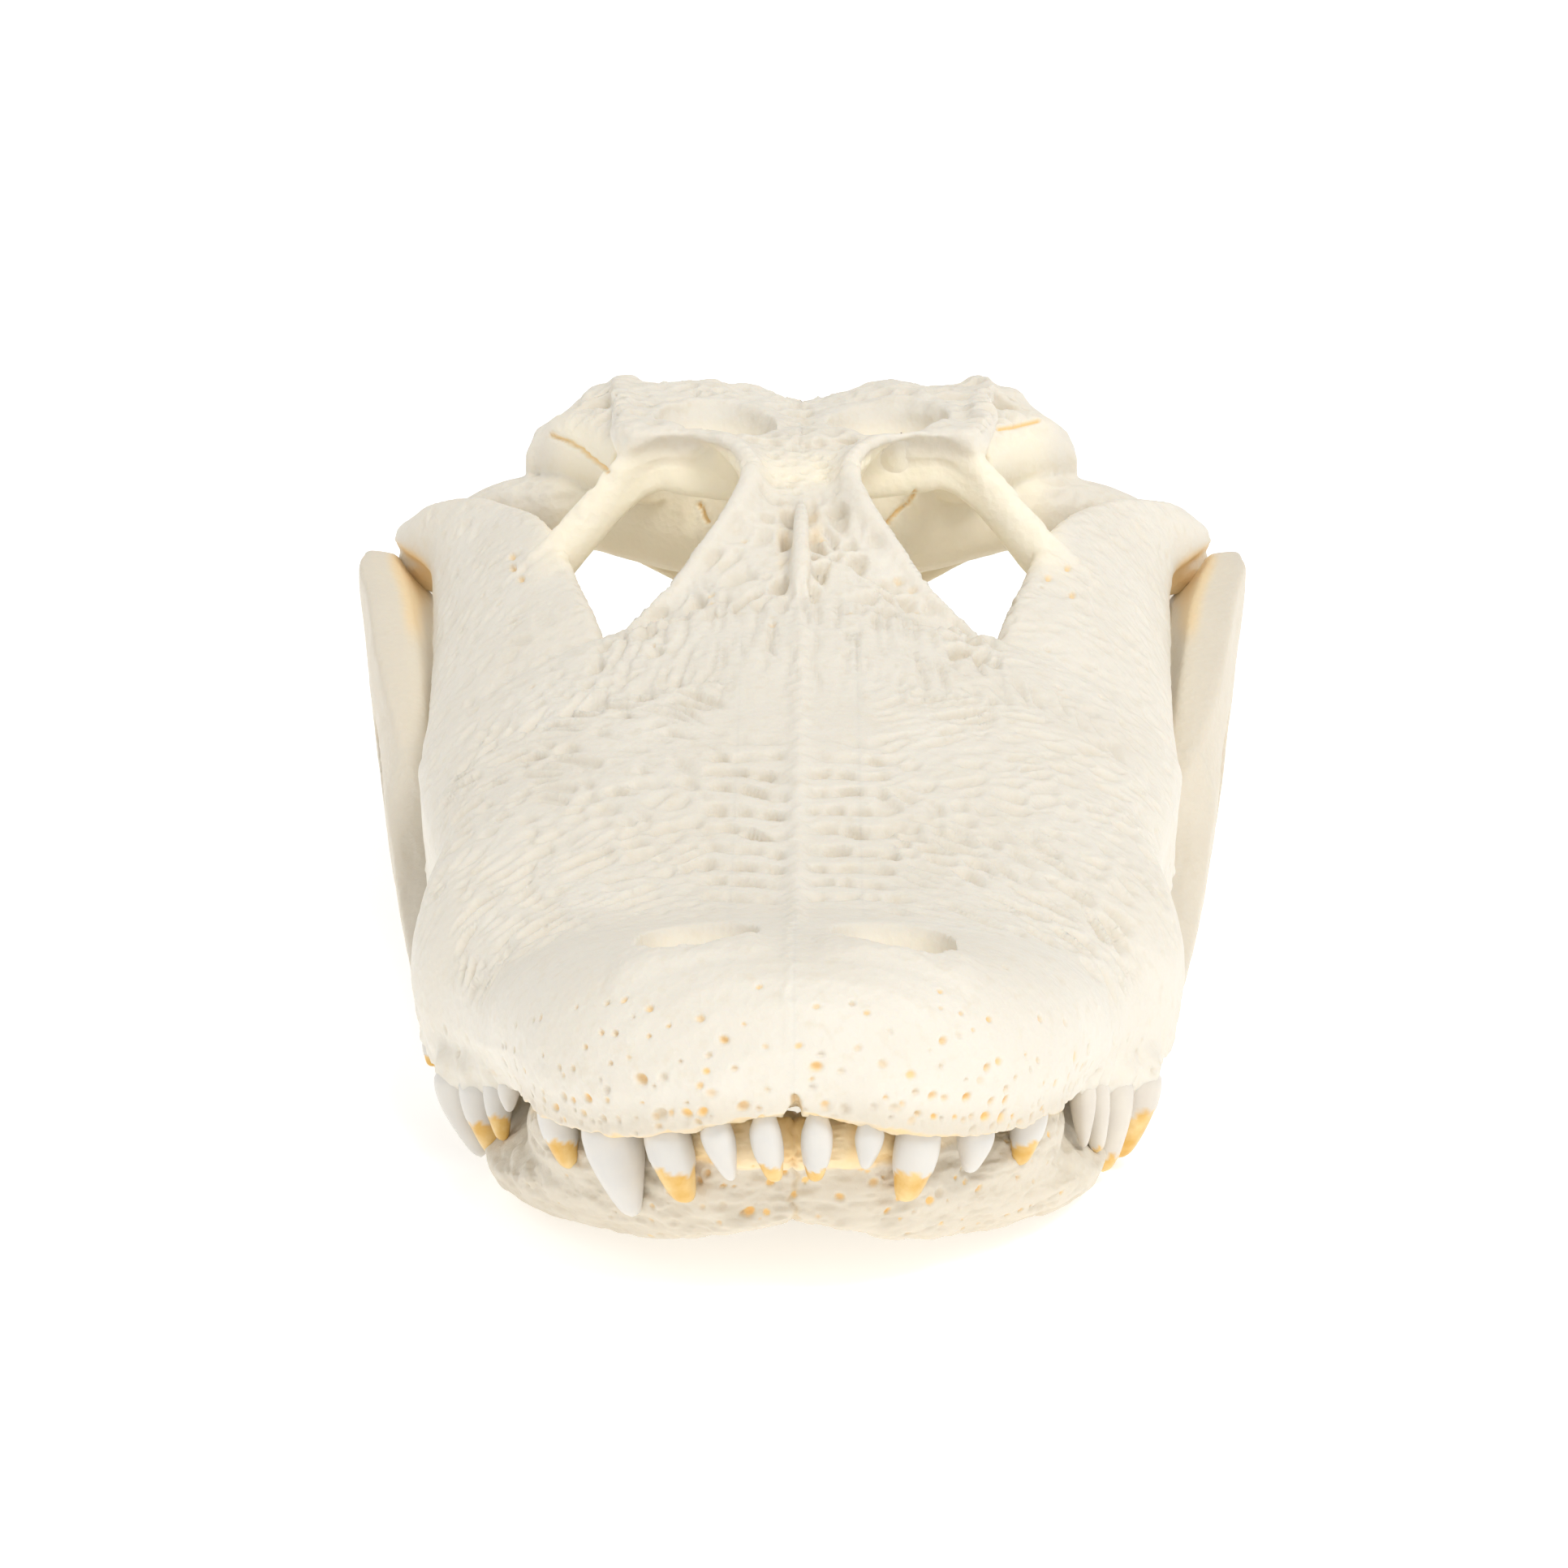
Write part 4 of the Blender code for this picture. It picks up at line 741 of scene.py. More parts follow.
def ramus_ring(y):
    """The outline of the right half of the lower jaw at one place along it."""
    top = Vector((at(RAMUS_TOP_X, y), at(RAMUS_TOP_Z, y)))
    wide = Vector((at(RAMUS_WIDE_X, y), at(RAMUS_WIDE_Z, y)))
    base = Vector((at(RAMUS_BASE_X, y), at(RAMUS_BASE_Z, y)))
    inner = at(RAMUS_INNER_X, y)
    shelf = at(RAMUS_SHELF, y)
    base_flat = min(0.6, shelf * 0.5)
    outer_top = top + Vector((shelf, 0.0))
    low = wide.lerp(base, 0.6) + Vector((0.35 * (wide.x - base.x), 0.0))
    inner_low = base.lerp(top, 0.2).y
    inner_high = base.lerp(top, at(RAMUS_INNER_RISE, y)).y
    ring = [
        (top.x - shelf, top.y - 0.2), outer_top, outer_top.lerp(wide, 0.5) + Vector((0.1, 0.1)), wide,
        low, (base.x + base_flat, base.y), (base.x - base_flat, base.y), (inner, inner_low),
        (inner, (inner_low + inner_high) / 2.0), (min(inner, top.x - shelf), inner_high),
    ]
    return softened([(x, y, z) for x, z in ring], share=0.1)


def window_outline():
    """The oval window in the side of the lower jaw, as (y, z) places."""
    outline = []
    for step in range(WINDOW_SIDES):
        turn = 2.0 * math.pi * step / WINDOW_SIDES
        along, rise = math.cos(turn), math.sin(turn)
        outline.append((
            WINDOW_CENTRE[0] + WINDOW_HALF_LENGTH * along,
            WINDOW_CENTRE[1] + WINDOW_HALF_HEIGHT * rise + WINDOW_TILT * along,
        ))
    return outline


def lower_jaw_half():
    """The right half of the lower jaw: long blade, joint block, spur, gum edge and swelling."""
    blade = loft("blade", [ramus_ring(y) for y in stations(RAMUS_SPAN)])
    joint = (
        (30.8, 103.2, 3.2, 6.4, 5.6), (26.0, 103.6, 3.2, 7.4, 5.8), (22.4, 104.0, 3.6, 6.4, 5.0),
        (20.6, 104.2, 4.0, 4.6, 3.8),
    )
    spur = (
        (27.4, 103.0, 1.6, 7.0, 6.4), (27.4, 109.0, 2.0, 5.6, 5.0), (27.2, 114.0, 3.8, 4.2, 3.6),
        (27.0, REAR_Y, 6.8, 3.0, 2.2),
    )
    scoop = (
        (22.8, 77.0, 2.4, 3.0, 4.0), (23.8, 84.0, 2.8, 3.8, 7.0), (24.8, 92.0, 3.6, 4.0, 7.4),
        (25.6, 98.0, 5.0, 3.0, 5.0),
    )
    gum = (
        (-0.3, 3.5, -1.5, 2.0, 2.9), (2.4, 3.6, -1.5, 2.0, 2.9), (4.8, 4.7, -1.6, 2.0, 3.0),
        (6.8, 7.0, -1.8, 2.2, 3.2), (8.4, 10.0, -2.1, 2.4, 3.2), (9.6, 14.0, -2.6, 2.4, 3.0),
        (10.4, 18.0, -3.9, 2.0, 2.0),
    )
    swelling = (
        (8.8, 8.4, -4.9, 2.4, 2.6), (11.0, 10.8, -4.7, 3.0, 3.8), (12.4, 13.6, -4.6, 3.2, 4.2),
        (13.1, 17.0, -5.2, 2.8, 3.8), (13.4, 21.0, -5.8, 2.4, 3.0),
    )
    pieces = [
        bar("joint", joint, power=3.0), bar("spur", spur, power=2.4), bar("gum", gum),
        bar("swelling", swelling),
    ]
    whole = combine(blade, pieces, "UNION")
    window = prism("window", window_outline(), 18.0, 40.0, "X")
    cutters = [window, bar("scoop", scoop, power=2.6)]
    return combine(whole, cutters, "DIFFERENCE")


def lower_jaw():
    """Both halves of the lower jaw, joined at the chin."""
    right = lower_jaw_half()
    return combine(right, [mirror_copy(right, "left_half")], "UNION")


# Fine surfaces as arrays of places in skull units


def remeshed(thing):
    """Cover a closed form with an even, fine net of small faces."""
    modifier = thing.modifiers.new("remesh", "REMESH")
    modifier.mode = "VOXEL"
    modifier.voxel_size = BONE_VOXEL
    modifier.use_smooth_shade = True
    apply_modifiers(thing)
    return thing


def refine_front(thing):
    """Halve the size of the faces near the snout's tip."""
    limit = to_world((0.0, FRONT_DETAIL_Y, 0.0)).y
    mesh = bmesh.new()
    mesh.from_mesh(thing.data)
    near = [edge for edge in mesh.edges if all(vertex.co.y < limit for vertex in edge.verts)]
    bmesh.ops.subdivide_edges(mesh, edges=near, cuts=1, use_grid_fill=True)
    mesh.to_mesh(thing.data)
    mesh.free()


def read_rows(items, name, kind=np.float32, width=3):
    """One attribute of a mesh's points, edges or triangles, as an array with a row for each."""
    flat = np.empty(len(items) * width, kind)
    items.foreach_get(name, flat)
    return flat.reshape(-1, width)


def read_places(mesh):
    """The places of a mesh's points in skull units."""
    places = read_rows(mesh.vertices, "co").astype(float) / UNIT
    places[:, 1] += MIDDLE_Y
    places[:, 2] += FLOOR_Z
    return places


def write_places(mesh, places):
    """Move a mesh's points to places in skull units, kept inside the CAD model's box."""
    moved = places.copy()
    moved[:, 1] -= MIDDLE_Y
    moved[:, 2] -= FLOOR_Z
    low, high = (np.array(corner) for corner in CAD_BOX)
    moved = np.clip(moved * UNIT, low, high)
    mesh.vertices.foreach_set("co", moved.astype(np.float32).ravel())
    mesh.update()


def folded(places):
    """The distance from the midline, y and z of places."""
    return np.abs(places[:, 0]), places[:, 1], places[:, 2]


def read_normals(mesh):
    """The direction out of the surface at each of a mesh's points."""
    return read_rows(mesh.vertex_normals, "vector").astype(float)


def read_edges(mesh):
    """The two points of each of a mesh's edges, by number."""
    return read_rows(mesh.edges, "vertices", np.int32, 2)


def neighbour_mean(values, edges, degree):
    """For each point, the mean of a value over the points that it shares an edge with."""
    first, second = edges.T
    total = np.bincount(first, weights=values[second], minlength=len(values))
    total += np.bincount(second, weights=values[first], minlength=len(values))
    return total / degree


def relax(places, edges, rounds):
    """Smooth a surface without shrinking it: each round pulls in and then pushes back out."""
    degree = np.maximum(np.bincount(edges.ravel(), minlength=len(places)), 1)
    for step in range(2 * rounds):
        strength = 0.5 if step % 2 == 0 else -0.52
        means = np.stack([neighbour_mean(places[:, axis], edges, degree) for axis in range(3)], axis=1)
        places = places + (means - places) * strength
    return places


def hashed(cells, seed):
    """An even random number for each whole-number cell."""
    mixed = np.uint32(seed * SEED_FACTOR % 2**32)
    for axis, factor in enumerate(CELL_FACTORS):
        mixed = mixed ^ cells[..., axis].astype(np.int64).astype(np.uint32) * factor
    mixed = mixed * SCRAMBLE_FACTORS[0]
    mixed = (mixed ^ (mixed >> np.uint32(15))) * SCRAMBLE_FACTORS[1]
    mixed ^= mixed >> np.uint32(13)
    return mixed.astype(float) / 2**32


def noise(places, size, seed):
    """Smooth noise from -1 to 1, with bumps of about the given size."""
    spots = places / size
    base = np.floor(spots)
    part = spots - base
    part = part * part * (3.0 - 2.0 * part)
    total = np.zeros(len(places))
    for corner in np.ndindex(2, 2, 2):
        share = np.ones(len(places))
        for axis in range(3):
            share *= part[:, axis] if corner[axis] else 1.0 - part[:, axis]
        total += share * hashed(base + np.array(corner), seed)
    return 2.0 * total - 1.0


def rough_noise(places, size, seed):
    """Noise at three sizes, each half of the one before."""
    return (
        noise(places, size, seed) + 0.5 * noise(places, size / 2.0, seed + 1)
        + 0.25 * noise(places, size / 4.0, seed + 2)
    ) / 1.75


def cell_distances(spots, seed):
    """Distances to the nearest and second nearest of one random centre in each unit cell."""
    base = np.floor(spots)
    nearest = np.full(len(spots), 9.0)
    second = np.full(len(spots), 9.0)
    for corner in np.ndindex(3, 3, 3):
        cell = base + np.array(corner) - 1.0
        centre = np.stack([hashed(cell, seed + axis) for axis in range(3)], axis=1)
        away = np.linalg.norm(cell + 0.1 + 0.8 * centre - spots, axis=1)
        second = np.minimum(second, np.maximum(nearest, away))
        nearest = np.minimum(nearest, away)
    return nearest, second


def smooth_step(value, low, high):
    """0 below low, 1 above high and a smooth rise between."""
    share = np.clip((value - low) / (high - low), 0.0, 1.0)
    return share * share * (3.0 - 2.0 * share)


def band(value, low, high, soft):
    """1 between low and high, fading to 0 over a soft width at each end."""
    falls = smooth_step(value, high - soft, high + soft)
    return smooth_step(value, low - soft, low + soft) * (1.0 - falls)


def hump(offset, width):
    """1 at no offset, falling off like a bell over a width."""
    return np.exp(-((offset / width) ** 2))


def hollows(places, sizes, turn, seed, bend=0.4):
    """Hollows with rounded walls between them, stretched by sizes along x and y after a turn."""
    side = np.where(places[:, 0] < 0.0, 1.0, 0.0)
    x, y, z = folded(places)
    sway = np.stack([noise(places, 2.6, seed + 11), noise(places, 2.6, seed + 12)], axis=1)
    along = x * np.cos(turn) + y * np.sin(turn)
    across = y * np.cos(turn) - x * np.sin(turn)
    spots = np.stack([along / sizes[0] + 300.0 * side, across / sizes[1], z / max(sizes)], axis=1)
    spots[:, :2] += bend * sway
    nearest, second = cell_distances(spots, seed)
    coarse = smooth_step(second - nearest, 0.08, 0.65)
    spots[:, :2] += 0.2 * sway
    nearest, second = cell_distances(spots * 2.1, seed + 7)
    fine = smooth_step(second - nearest, 0.05, 0.6)
    return 0.9 * coarse * (0.6 + 0.6 * hashed(np.floor(spots), seed)) + 0.1 * fine


def rungs(places, seed):
    """Rows of pits across the snout beside its middle, with raised bars between the rows."""
    side = np.where(places[:, 0] < 0.0, 1.0, 0.0)
    x, y = np.abs(places[:, 0]), places[:, 1]
    sway = 0.8 * noise(places, 4.5, seed) + 0.45 * noise(places, 1.9, seed + 5)
    row = (y + sway + (0.12 - 0.3 * side) * (x - 3.0)) / RUNG_SPACING
    number = np.round(row)
    gap = smooth_step(np.cos(2.0 * math.pi * row), -0.3, 0.7)
    cells = np.stack([number, side, np.zeros(len(x))], axis=1)
    across = x / RUNG_PIT_WIDTH + hashed(cells, seed + 1) + 0.4 * noise(places, 1.6, seed + 2)
    cells[:, 2] = np.floor(across)
    from_middle = np.abs(2.0 * (across - np.floor(across)) - 1.0)
    pit_share = 1.0 - smooth_step(from_middle, 0.15, 0.85)
    return gap * (0.35 + pit_share * (0.1 + 0.8 * hashed(cells, seed + 3)))


def photo_pixels(places):
    """Where places in skull units fall in the photograph, in its pixels."""
    away = places - np.array(CAMERA_PLACE)
    swing = math.radians(CAMERA_ROLL_Z)
    right = away[:, 0] * math.cos(swing) + away[:, 1] * math.sin(swing)
    ahead = away[:, 1] * math.cos(swing) - away[:, 0] * math.sin(swing)
    down = math.radians(CAMERA_DOWN)
    depth = ahead * math.cos(down) - away[:, 2] * math.sin(down)
    rise = ahead * math.sin(down) + away[:, 2] * math.cos(down)
    middle = PHOTO_WIDTH / 2.0
    across = middle + FOCAL_PIXELS * right / depth
    return np.stack([across, middle - FOCAL_PIXELS * rise / depth], axis=1)


def distance_to_path(spots, path):
    """How far flat spots are from a path of straight stretches."""
    path = np.array(path, float)
    nearest = np.full(len(spots), np.inf)
    for start, end in zip(path, path[1:]):
        run = end - start
        share = np.clip(((spots - start) @ run) / (run @ run), 0.0, 1.0)
        nearest = np.minimum(nearest, np.linalg.norm(spots - start - share[:, None] * run, axis=1))
    return nearest


def sculpture(places, normals):
    """Depth of the hollows that roughen the outside of the upper skull."""
    x, y, z = folded(places)
    upward = smooth_step(normals[:, 2], 0.05, 0.5)
    inside_rim = smooth_step(at(BROW_HALF_WIDTH, y) - x, 0.5, 2.4)
    on_brow = upward * band(y, 59.0, 72.5, 1.8) * inside_rim
    on_brow *= smooth_step(x / crest_width(y), 0.7, 1.5) * (1.0 + 0.3 * hump(x - 1.7, 1.0))
    high_brow = upward * band(y, 71.0, 79.0, 1.0) * inside_rim
    from_temple = np.hypot((x - 5.9) / 4.6, (y - 85.3) / 7.0)
    on_table = upward * smooth_step(z, 21.2, 22.2) * band(y, 78.0, 101.0, 1.0)
    on_table *= smooth_step(from_temple, 0.95, 1.15)
    fan = 1.6 + 0.035 * x
    slant = 2.5 - 0.033 * np.clip(y - 30.0, 0.0, 20.0)

    def area(x_span, y_span):
        """What faces up within spans of (low, high, soft edge) beside and along the middle."""
        return upward * band(x, *x_span) * band(y, *y_span)

    layers = (
        # area, (length, width), turn, depth, bend
        (area((4.6, 22.0, 0.8), (31.0, 54.0, 4.5)), (3.2, 1.3), slant, 0.5, 0.5),
        (area((5.0, 19.0, 0.6), (18.5, 32.0, 2.0)), (3.0, 1.2), 2.6, 0.7, 0.5),
        (area((-1.0, 12.5, 1.5), (49.0, 62.0, 5.0)), (7.0, 1.9), fan, 0.36, 0.45),
        (area((8.6, 12.9, 0.5), (55.0, 62.0, 0.8)), (1.7, 3.0), 0.0, 0.95, 0.3),
        (on_brow, (2.7, 1.7), 1.75, 0.85, 0.5),
        (high_brow, (1.1, 0.9), 0.4, 0.35, 0.3),
        (on_table, (1.9, 1.5), 0.3, 0.6, 0.4),
        (area((12.5, 30.0, 1.0), (52.0, 98.0, 2.0)), (2.2, 1.3), 0.7, 0.22, 0.5),
    )
    depth = np.zeros(len(places))
    for index, (mask, sizes, turn, deep, bend) in enumerate(layers):
        chosen = mask > 0.01
        turns = turn[chosen] if np.ndim(turn) else turn
        cut = hollows(places[chosen], sizes, turns, SEED + 20 * index, bend)
        depth[chosen] += deep * mask[chosen] * cut
    beside_middle = area((0.9, 5.2, 0.6), (21.0, 41.0, 3.5))
    return depth + RUNG_DEPTH * beside_middle * rungs(places, SEED + 200)


def crest_width(y):
    """Half the width of the ridge along the middle of the brow, which widens forwards."""
    return 0.15 + 0.055 * np.clip(71.0 - y, 0.0, 10.0)


def socket_dish(places, normals):
    """Depth of the smooth hollow in the front of the bar behind each eye socket."""
    flat = np.stack([np.abs(places[:, 0]), places[:, 2]], axis=1)
    stops = np.array(SOCKET_BAR_STOPS)
    half = np.interp(flat[:, 0], stops[:, 0], stops[:, 3]) / 2.0
    from_middle = distance_to_path(flat, stops[:, [0, 2]]) / half
    facing = smooth_step(-normals[:, 1], 0.2, 0.8) * band(places[:, 1], 73.5, 81.0, 0.5)
    wide = smooth_step(half, 1.4, 2.0)
    return (0.1 + 0.45 * wide) * half * np.clip(1.0 - from_middle ** 2, 0.0, 1.0) * facing


def middle_ridges(places, upward):
    """Height of the seam along the middle of the snout and of the crest between the eyes."""
    x, y, _ = places.T
    sway = 0.12 * np.sin(y * 2.3) + 0.1 * np.sin(y * 5.1 + 1.0) - 0.3 * band(y, -5.0, 14.0, 4.0)
    height = SEAM_HEIGHT * hump(x - sway, 0.45) * band(y, 14.0, 58.0, 2.0) * upward
    height += FRONT_SEAM_HEIGHT * hump(x - sway, 0.2) * band(y, 1.0, 14.0, 2.0)
    crest_share = hump(x - 0.05, crest_width(y)) * band(y, 62.5, 70.5, 2.5)
    return height + CREST_HEIGHT * crest_share * upward


def raised_rims(places, upward):
    """Height of the rims of the eye sockets and skull table and in front of the nostrils."""
    x, y, z = folded(places)
    from_socket = x - at(BROW_HALF_WIDTH, y) + 0.4
    height = SOCKET_RIM_HEIGHT * hump(from_socket, 0.8) * band(y, 63.0, 78.5, 1.5) * upward
    from_table_edge = x - at(TABLE_HALF_WIDTH, y) + 0.6
    at_table = band(y, 78.5, 100.5, 0.8) * smooth_step(z, 20.5, 22.5)
    height += TABLE_RIM_HEIGHT * hump(from_table_edge, 0.9) * at_table
    rough_top = at_table * rough_noise(places, 3.2, SEED + 31) * smooth_step(z, 21.4, 22.6)
    height += TABLE_ROUGHNESS * rough_top
    nostril_front = band(y, 5.0, 8.4, 0.8) * band(x, 1.5, 9.0, 0.8) * upward
    uneven = NOSTRIL_RIM_ROUGHNESS * rough_noise(places, 1.2, SEED + 37)
    return height + nostril_front * (NOSTRIL_RIM_HEIGHT + uneven)


def rough_edges(places):
    """Height of the roughness along the edges that bear the teeth, and of the beads in front."""
    y = places[:, 1]
    above = places[:, 2] - at(TOOTH_EDGE_Z, y)
    lip = band(y, -1.0, 66.0, 1.0) * band(above, -1.0, 0.7, 0.3)
    rear_lip = band(y, 16.0, 44.0, 2.0) * band(above, -1.0, 2.6, 0.8)
    beads = band(y, -2.0, 11.0, 2.0) * band(above, 0.0, 3.4, 1.0)
    return (
        LIP_ROUGHNESS * lip * rough_noise(places, 0.9, SEED + 41)
        + REAR_LIP_ROUGHNESS * rear_lip * rough_noise(places, 0.8, SEED + 43)
        + BEAD_HEIGHT * beads * rough_noise(places, 1.0, SEED + 47)
    )


def raised_forms(places, normals):
    """Height of all that stands out of the upper skull's surface."""
    upward = smooth_step(normals[:, 2], -0.2, 0.4)
    return (
        middle_ridges(places, upward) + raised_rims(places, upward) + rough_edges(places)
        + socket_swellings(places, normals)
    )


def socket_swellings(places, normals):
    """Height of the bone's swellings around the roots of the upper teeth."""
    x, y, z = places.T
    outward = smooth_step(np.abs(normals[:, 0]) - 0.5 * normals[:, 1], 0.2, 0.6)
    near_edge = outward * band(z - at(TOOTH_EDGE_Z, y), -0.8, 1.7, 0.7)
    height = np.zeros(len(places))
    for side, sign in (("right", 1.0), ("left", -1.0)):
        of_side = near_edge * smooth_step(sign * x, 5.0, 8.0)
        for place, (_, radius, _, _) in zip(REAR_PLACES, REAR_TEETH[side]):
            rise = 0.75 * radius + 0.05 - 0.5 * at(TOOTH_INSET, place)
            height += rise * hump(y - place, 0.95 * radius) * of_side
    return height


def middle_notch(places):
    """Share of the notch's depth at the open seam between the front bones, from the lip up."""
    x, y, z = places.T
    width = 0.5 - 0.13 * np.clip(z - 0.6, 0.0, 3.0)
    inside = smooth_step(width - np.abs(x + 0.1 * np.sin(3.0 * z)), 0.0, 0.3)
    return inside * band(z, -1.0, 2.1, 0.25) * band(y, -1.0, 3.0, 0.5)


def pick_sites(places, chance, count, spacing, seed):
    """Seeded choice of points, by chance, none nearer to another than the spacing."""
    rng = np.random.default_rng(seed)
    chance = chance + LEAST_CHANCE
    candidates = rng.choice(len(places), size=count * 12, p=chance / chance.sum())
    kept = []
    for index in candidates:
        place = places[index]
        if all(np.abs(place - other).sum() > spacing for other in kept):
            kept.append(place)
        if len(kept) == count:
            break
    return kept


def pore(places, normals, tree, site, radius, turn, deep, stain, painted_shade, amount):
    """Sink a small oval hole at a site, stain its bottom amber and paint shade into it."""
    found = tree.find_range(Vector(site), radius * 2.2)
    if not found:
        return
    indices = np.array([index for _, index, _ in found])
    away = places[indices] - np.array(site)
    along = away @ np.array((math.cos(turn), 0.0, math.sin(turn)))
    squared = (away ** 2).sum(axis=1) - (1.0 - PORE_STRETCH ** -2) * along ** 2
    away = np.sqrt(np.maximum(squared, 0.0)) / radius
    profile = 1.0 - smooth_step(away, 0.15, 1.25)
    places[indices] -= normals[indices] * (deep * profile)[:, None]
    stain[indices] = np.maximum(stain[indices], amount * (1.0 - smooth_step(away, 0.35, 1.05)))
    # Painted shade in the bottom of the hole
    painted_shade[indices] = np.maximum(painted_shade[indices], PAINTED_PORE_SHADE * profile)


def search_tree(places):
    """A tree that finds the points near a place."""
    tree = KDTree(len(places))
    for index, place in enumerate(places):
        tree.insert(place, index)
    tree.balance()
    return tree


def pores(places, normals, regions, stain, painted_shade):
    """Nerve and vessel holes in each region, as (chance, count, spacing, radius, amount)."""
    tree = search_tree(places)
    rng = random.Random(SEED)
    for number, (chance, count, spacing, radius, amount) in enumerate(regions):
        for site in pick_sites(places, chance, count, spacing, SEED + number):
            size = radius * rng.uniform(0.6, 1.35)
            strength = amount * rng.uniform(0.0, 1.0)
            turn = rng.uniform(-0.7, 0.7)
            deep = size * rng.uniform(0.7, 1.4)
            pore(places, normals, tree, site, size, turn, deep, stain, painted_shade, strength)


def sink_mark(places, normals, stain, near, amount):
    """Sink and stain the surface where a mark is near."""
    places -= normals * (MARK_DEPTH * near)[:, None]
    stain[:] = np.maximum(stain, amount * near)


def mark_from_photo(places, normals, stain):
    """Cracks and amber spots where the photograph shows them, on what faces the camera."""
    pixels = photo_pixels(places)
    facing = smooth_step(-normals[:, 1], -0.3, 0.1)
    for path in CRACKS:
        away = distance_to_path(pixels, path) / CRACK_HALF_WIDTH
        near = (1.0 - smooth_step(away, 0.4, 1.6)) * facing * smooth_step(places[:, 1], 76.0, 80.0)
        sink_mark(places, normals, stain, near, 0.95)
    for spot in CHEEK_SPOTS:
        away = np.linalg.norm(pixels - np.array(spot, float), axis=1)
        near = (1.0 - smooth_step(away, 1.5, 5.5)) * facing * band(places[:, 1], 55.0, 95.0, 2.0)
        sink_mark(places, normals, stain, near, 0.7)


def upper_pore_regions(places, normals):
    """Where the upper skull's pores are: the snout's front, its tooth edges, cheeks and brow."""
    x, y, z = folded(places)
    above = z - at(TOOTH_EDGE_Z, y)
    frontward = smooth_step(-normals[:, 1], 0.0, 0.5) * band(y, 0.0, 12.0, 1.0)
    rows = smooth_step(np.cos(2.0 * math.pi * above / 0.95), -0.2, 0.9)
    above_edge = band(above, 0.5, 3.2, 0.4) * rows
    middleward = 1.0 - 0.65 * smooth_step(x, 8.0, 14.0)
    outward = smooth_step(np.abs(normals[:, 0]), 0.2, 0.7)
    upward = smooth_step(normals[:, 2], 0.3, 0.7)
    return (
        (middleward * frontward * band(above, 0.8, 7.0, 1.5), 90, 1.2, 0.19, 0.8),
        (middleward * frontward * above_edge, 56, 1.1, 0.25, 1.2),
        (frontward * band(above, 0.2, 1.2, 0.2), 44, 0.8, 0.19, 0.35),
        (outward * above_edge * band(y, 12.0, 62.0, 2.0), 150, 0.9, 0.22, 0.2),
        (upward * band(x, 15.0, 27.0, 1.0) * band(y, 52.0, 90.0, 3.0), 26, 1.2, 0.2, 0.4),
        (upward * band(x, 1.0, 9.0, 0.5) * band(y, 54.0, 72.0, 2.0), 26, 1.4, 0.24, 0.7),
    )


def lower_pore_regions(places, normals):
    """Where the lower jaw's pores are: mostly around the chin."""
    y, z = places[:, 1], places[:, 2]
    frontward = smooth_step(-normals[:, 1], 0.05, 0.5) * band(y, 0.0, 16.0, 1.0)
    middleward = 1.0 - 0.85 * smooth_step(np.abs(places[:, 0]), 7.0, 11.0)
    outward = smooth_step(normals[:, 0] ** 2, 0.2, 0.7)
    return (
        (middleward * frontward * band(z, -5.6, -3.0, 0.5), 30, 1.0, 0.21, 2.2),
        (middleward * frontward * band(z, -8.6, -2.8, 0.8), 70, 0.8, 0.14, 1.1),
        (outward * band(y, 16.0, 70.0, 4.0) * band(z, -8.0, -3.5, 1.0), 40, 1.2, 0.16, 0.4),
    )


def bone_tree(names):
    """A search tree over the faces of CAD bones, and the number of each face's bone."""
    places, faces, owners = [], [], []
    for number, name in enumerate(names):
        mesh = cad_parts[name].data
        start = len(places)
        places += [vertex.co.copy() for vertex in mesh.vertices]
        for face in mesh.polygons:
            faces.append([start + index for index in face.vertices])
            owners.append(number)
    return BVHTree.FromPolygons(places, faces), np.array(owners)


def bone_of_faces(mesh, corners, names):
    """For each triangle, the number of the CAD bone that it is part of."""
    middles = read_rows(mesh.vertices, "co")[corners].mean(axis=1)
    tree, owners = bone_tree(names)
    nearest = [tree.find_nearest(Vector(middle))[2] for middle in middles]
    return owners[np.array(nearest)]


def triangle_corners(mesh):
    """The three points of every triangle of a mesh."""
    mesh.calc_loop_triangles()
    return read_rows(mesh.loop_triangles, "vertices", np.int32)


def store_colours(data, name, colours):
    """Give each point of a mesh a colour that its material reads."""
    layer = data.color_attributes.new(name=name, type="FLOAT_COLOR", domain="POINT")
    layer.data.foreach_set("color", colours.astype(np.float32).ravel())


def separate_bone(name, mesh, corners, normals, shades):
    """One bone's share of a dressed surface as a piece with unbroken shading at its edges."""
    used, order = np.unique(corners, return_inverse=True)
    data = bpy.data.meshes.new(name)
    data.vertices.add(len(used))
    data.vertices.foreach_set("co", read_rows(mesh.vertices, "co")[used].ravel())
    data.loops.add(corners.size)
    data.loops.foreach_set("vertex_index", order.ravel().astype(np.int32))
    data.polygons.add(len(corners))
    data.polygons.foreach_set("loop_start", np.arange(len(corners), dtype=np.int32) * 3)
    data.update(calc_edges=True)
    data.shade_smooth()
    data.normals_split_custom_set_from_vertices(normals[used].astype(np.float32))
    store_colours(data, "bone_shades", shades[used])
    data.materials.append(BONE)
    return in_scene(name, data)


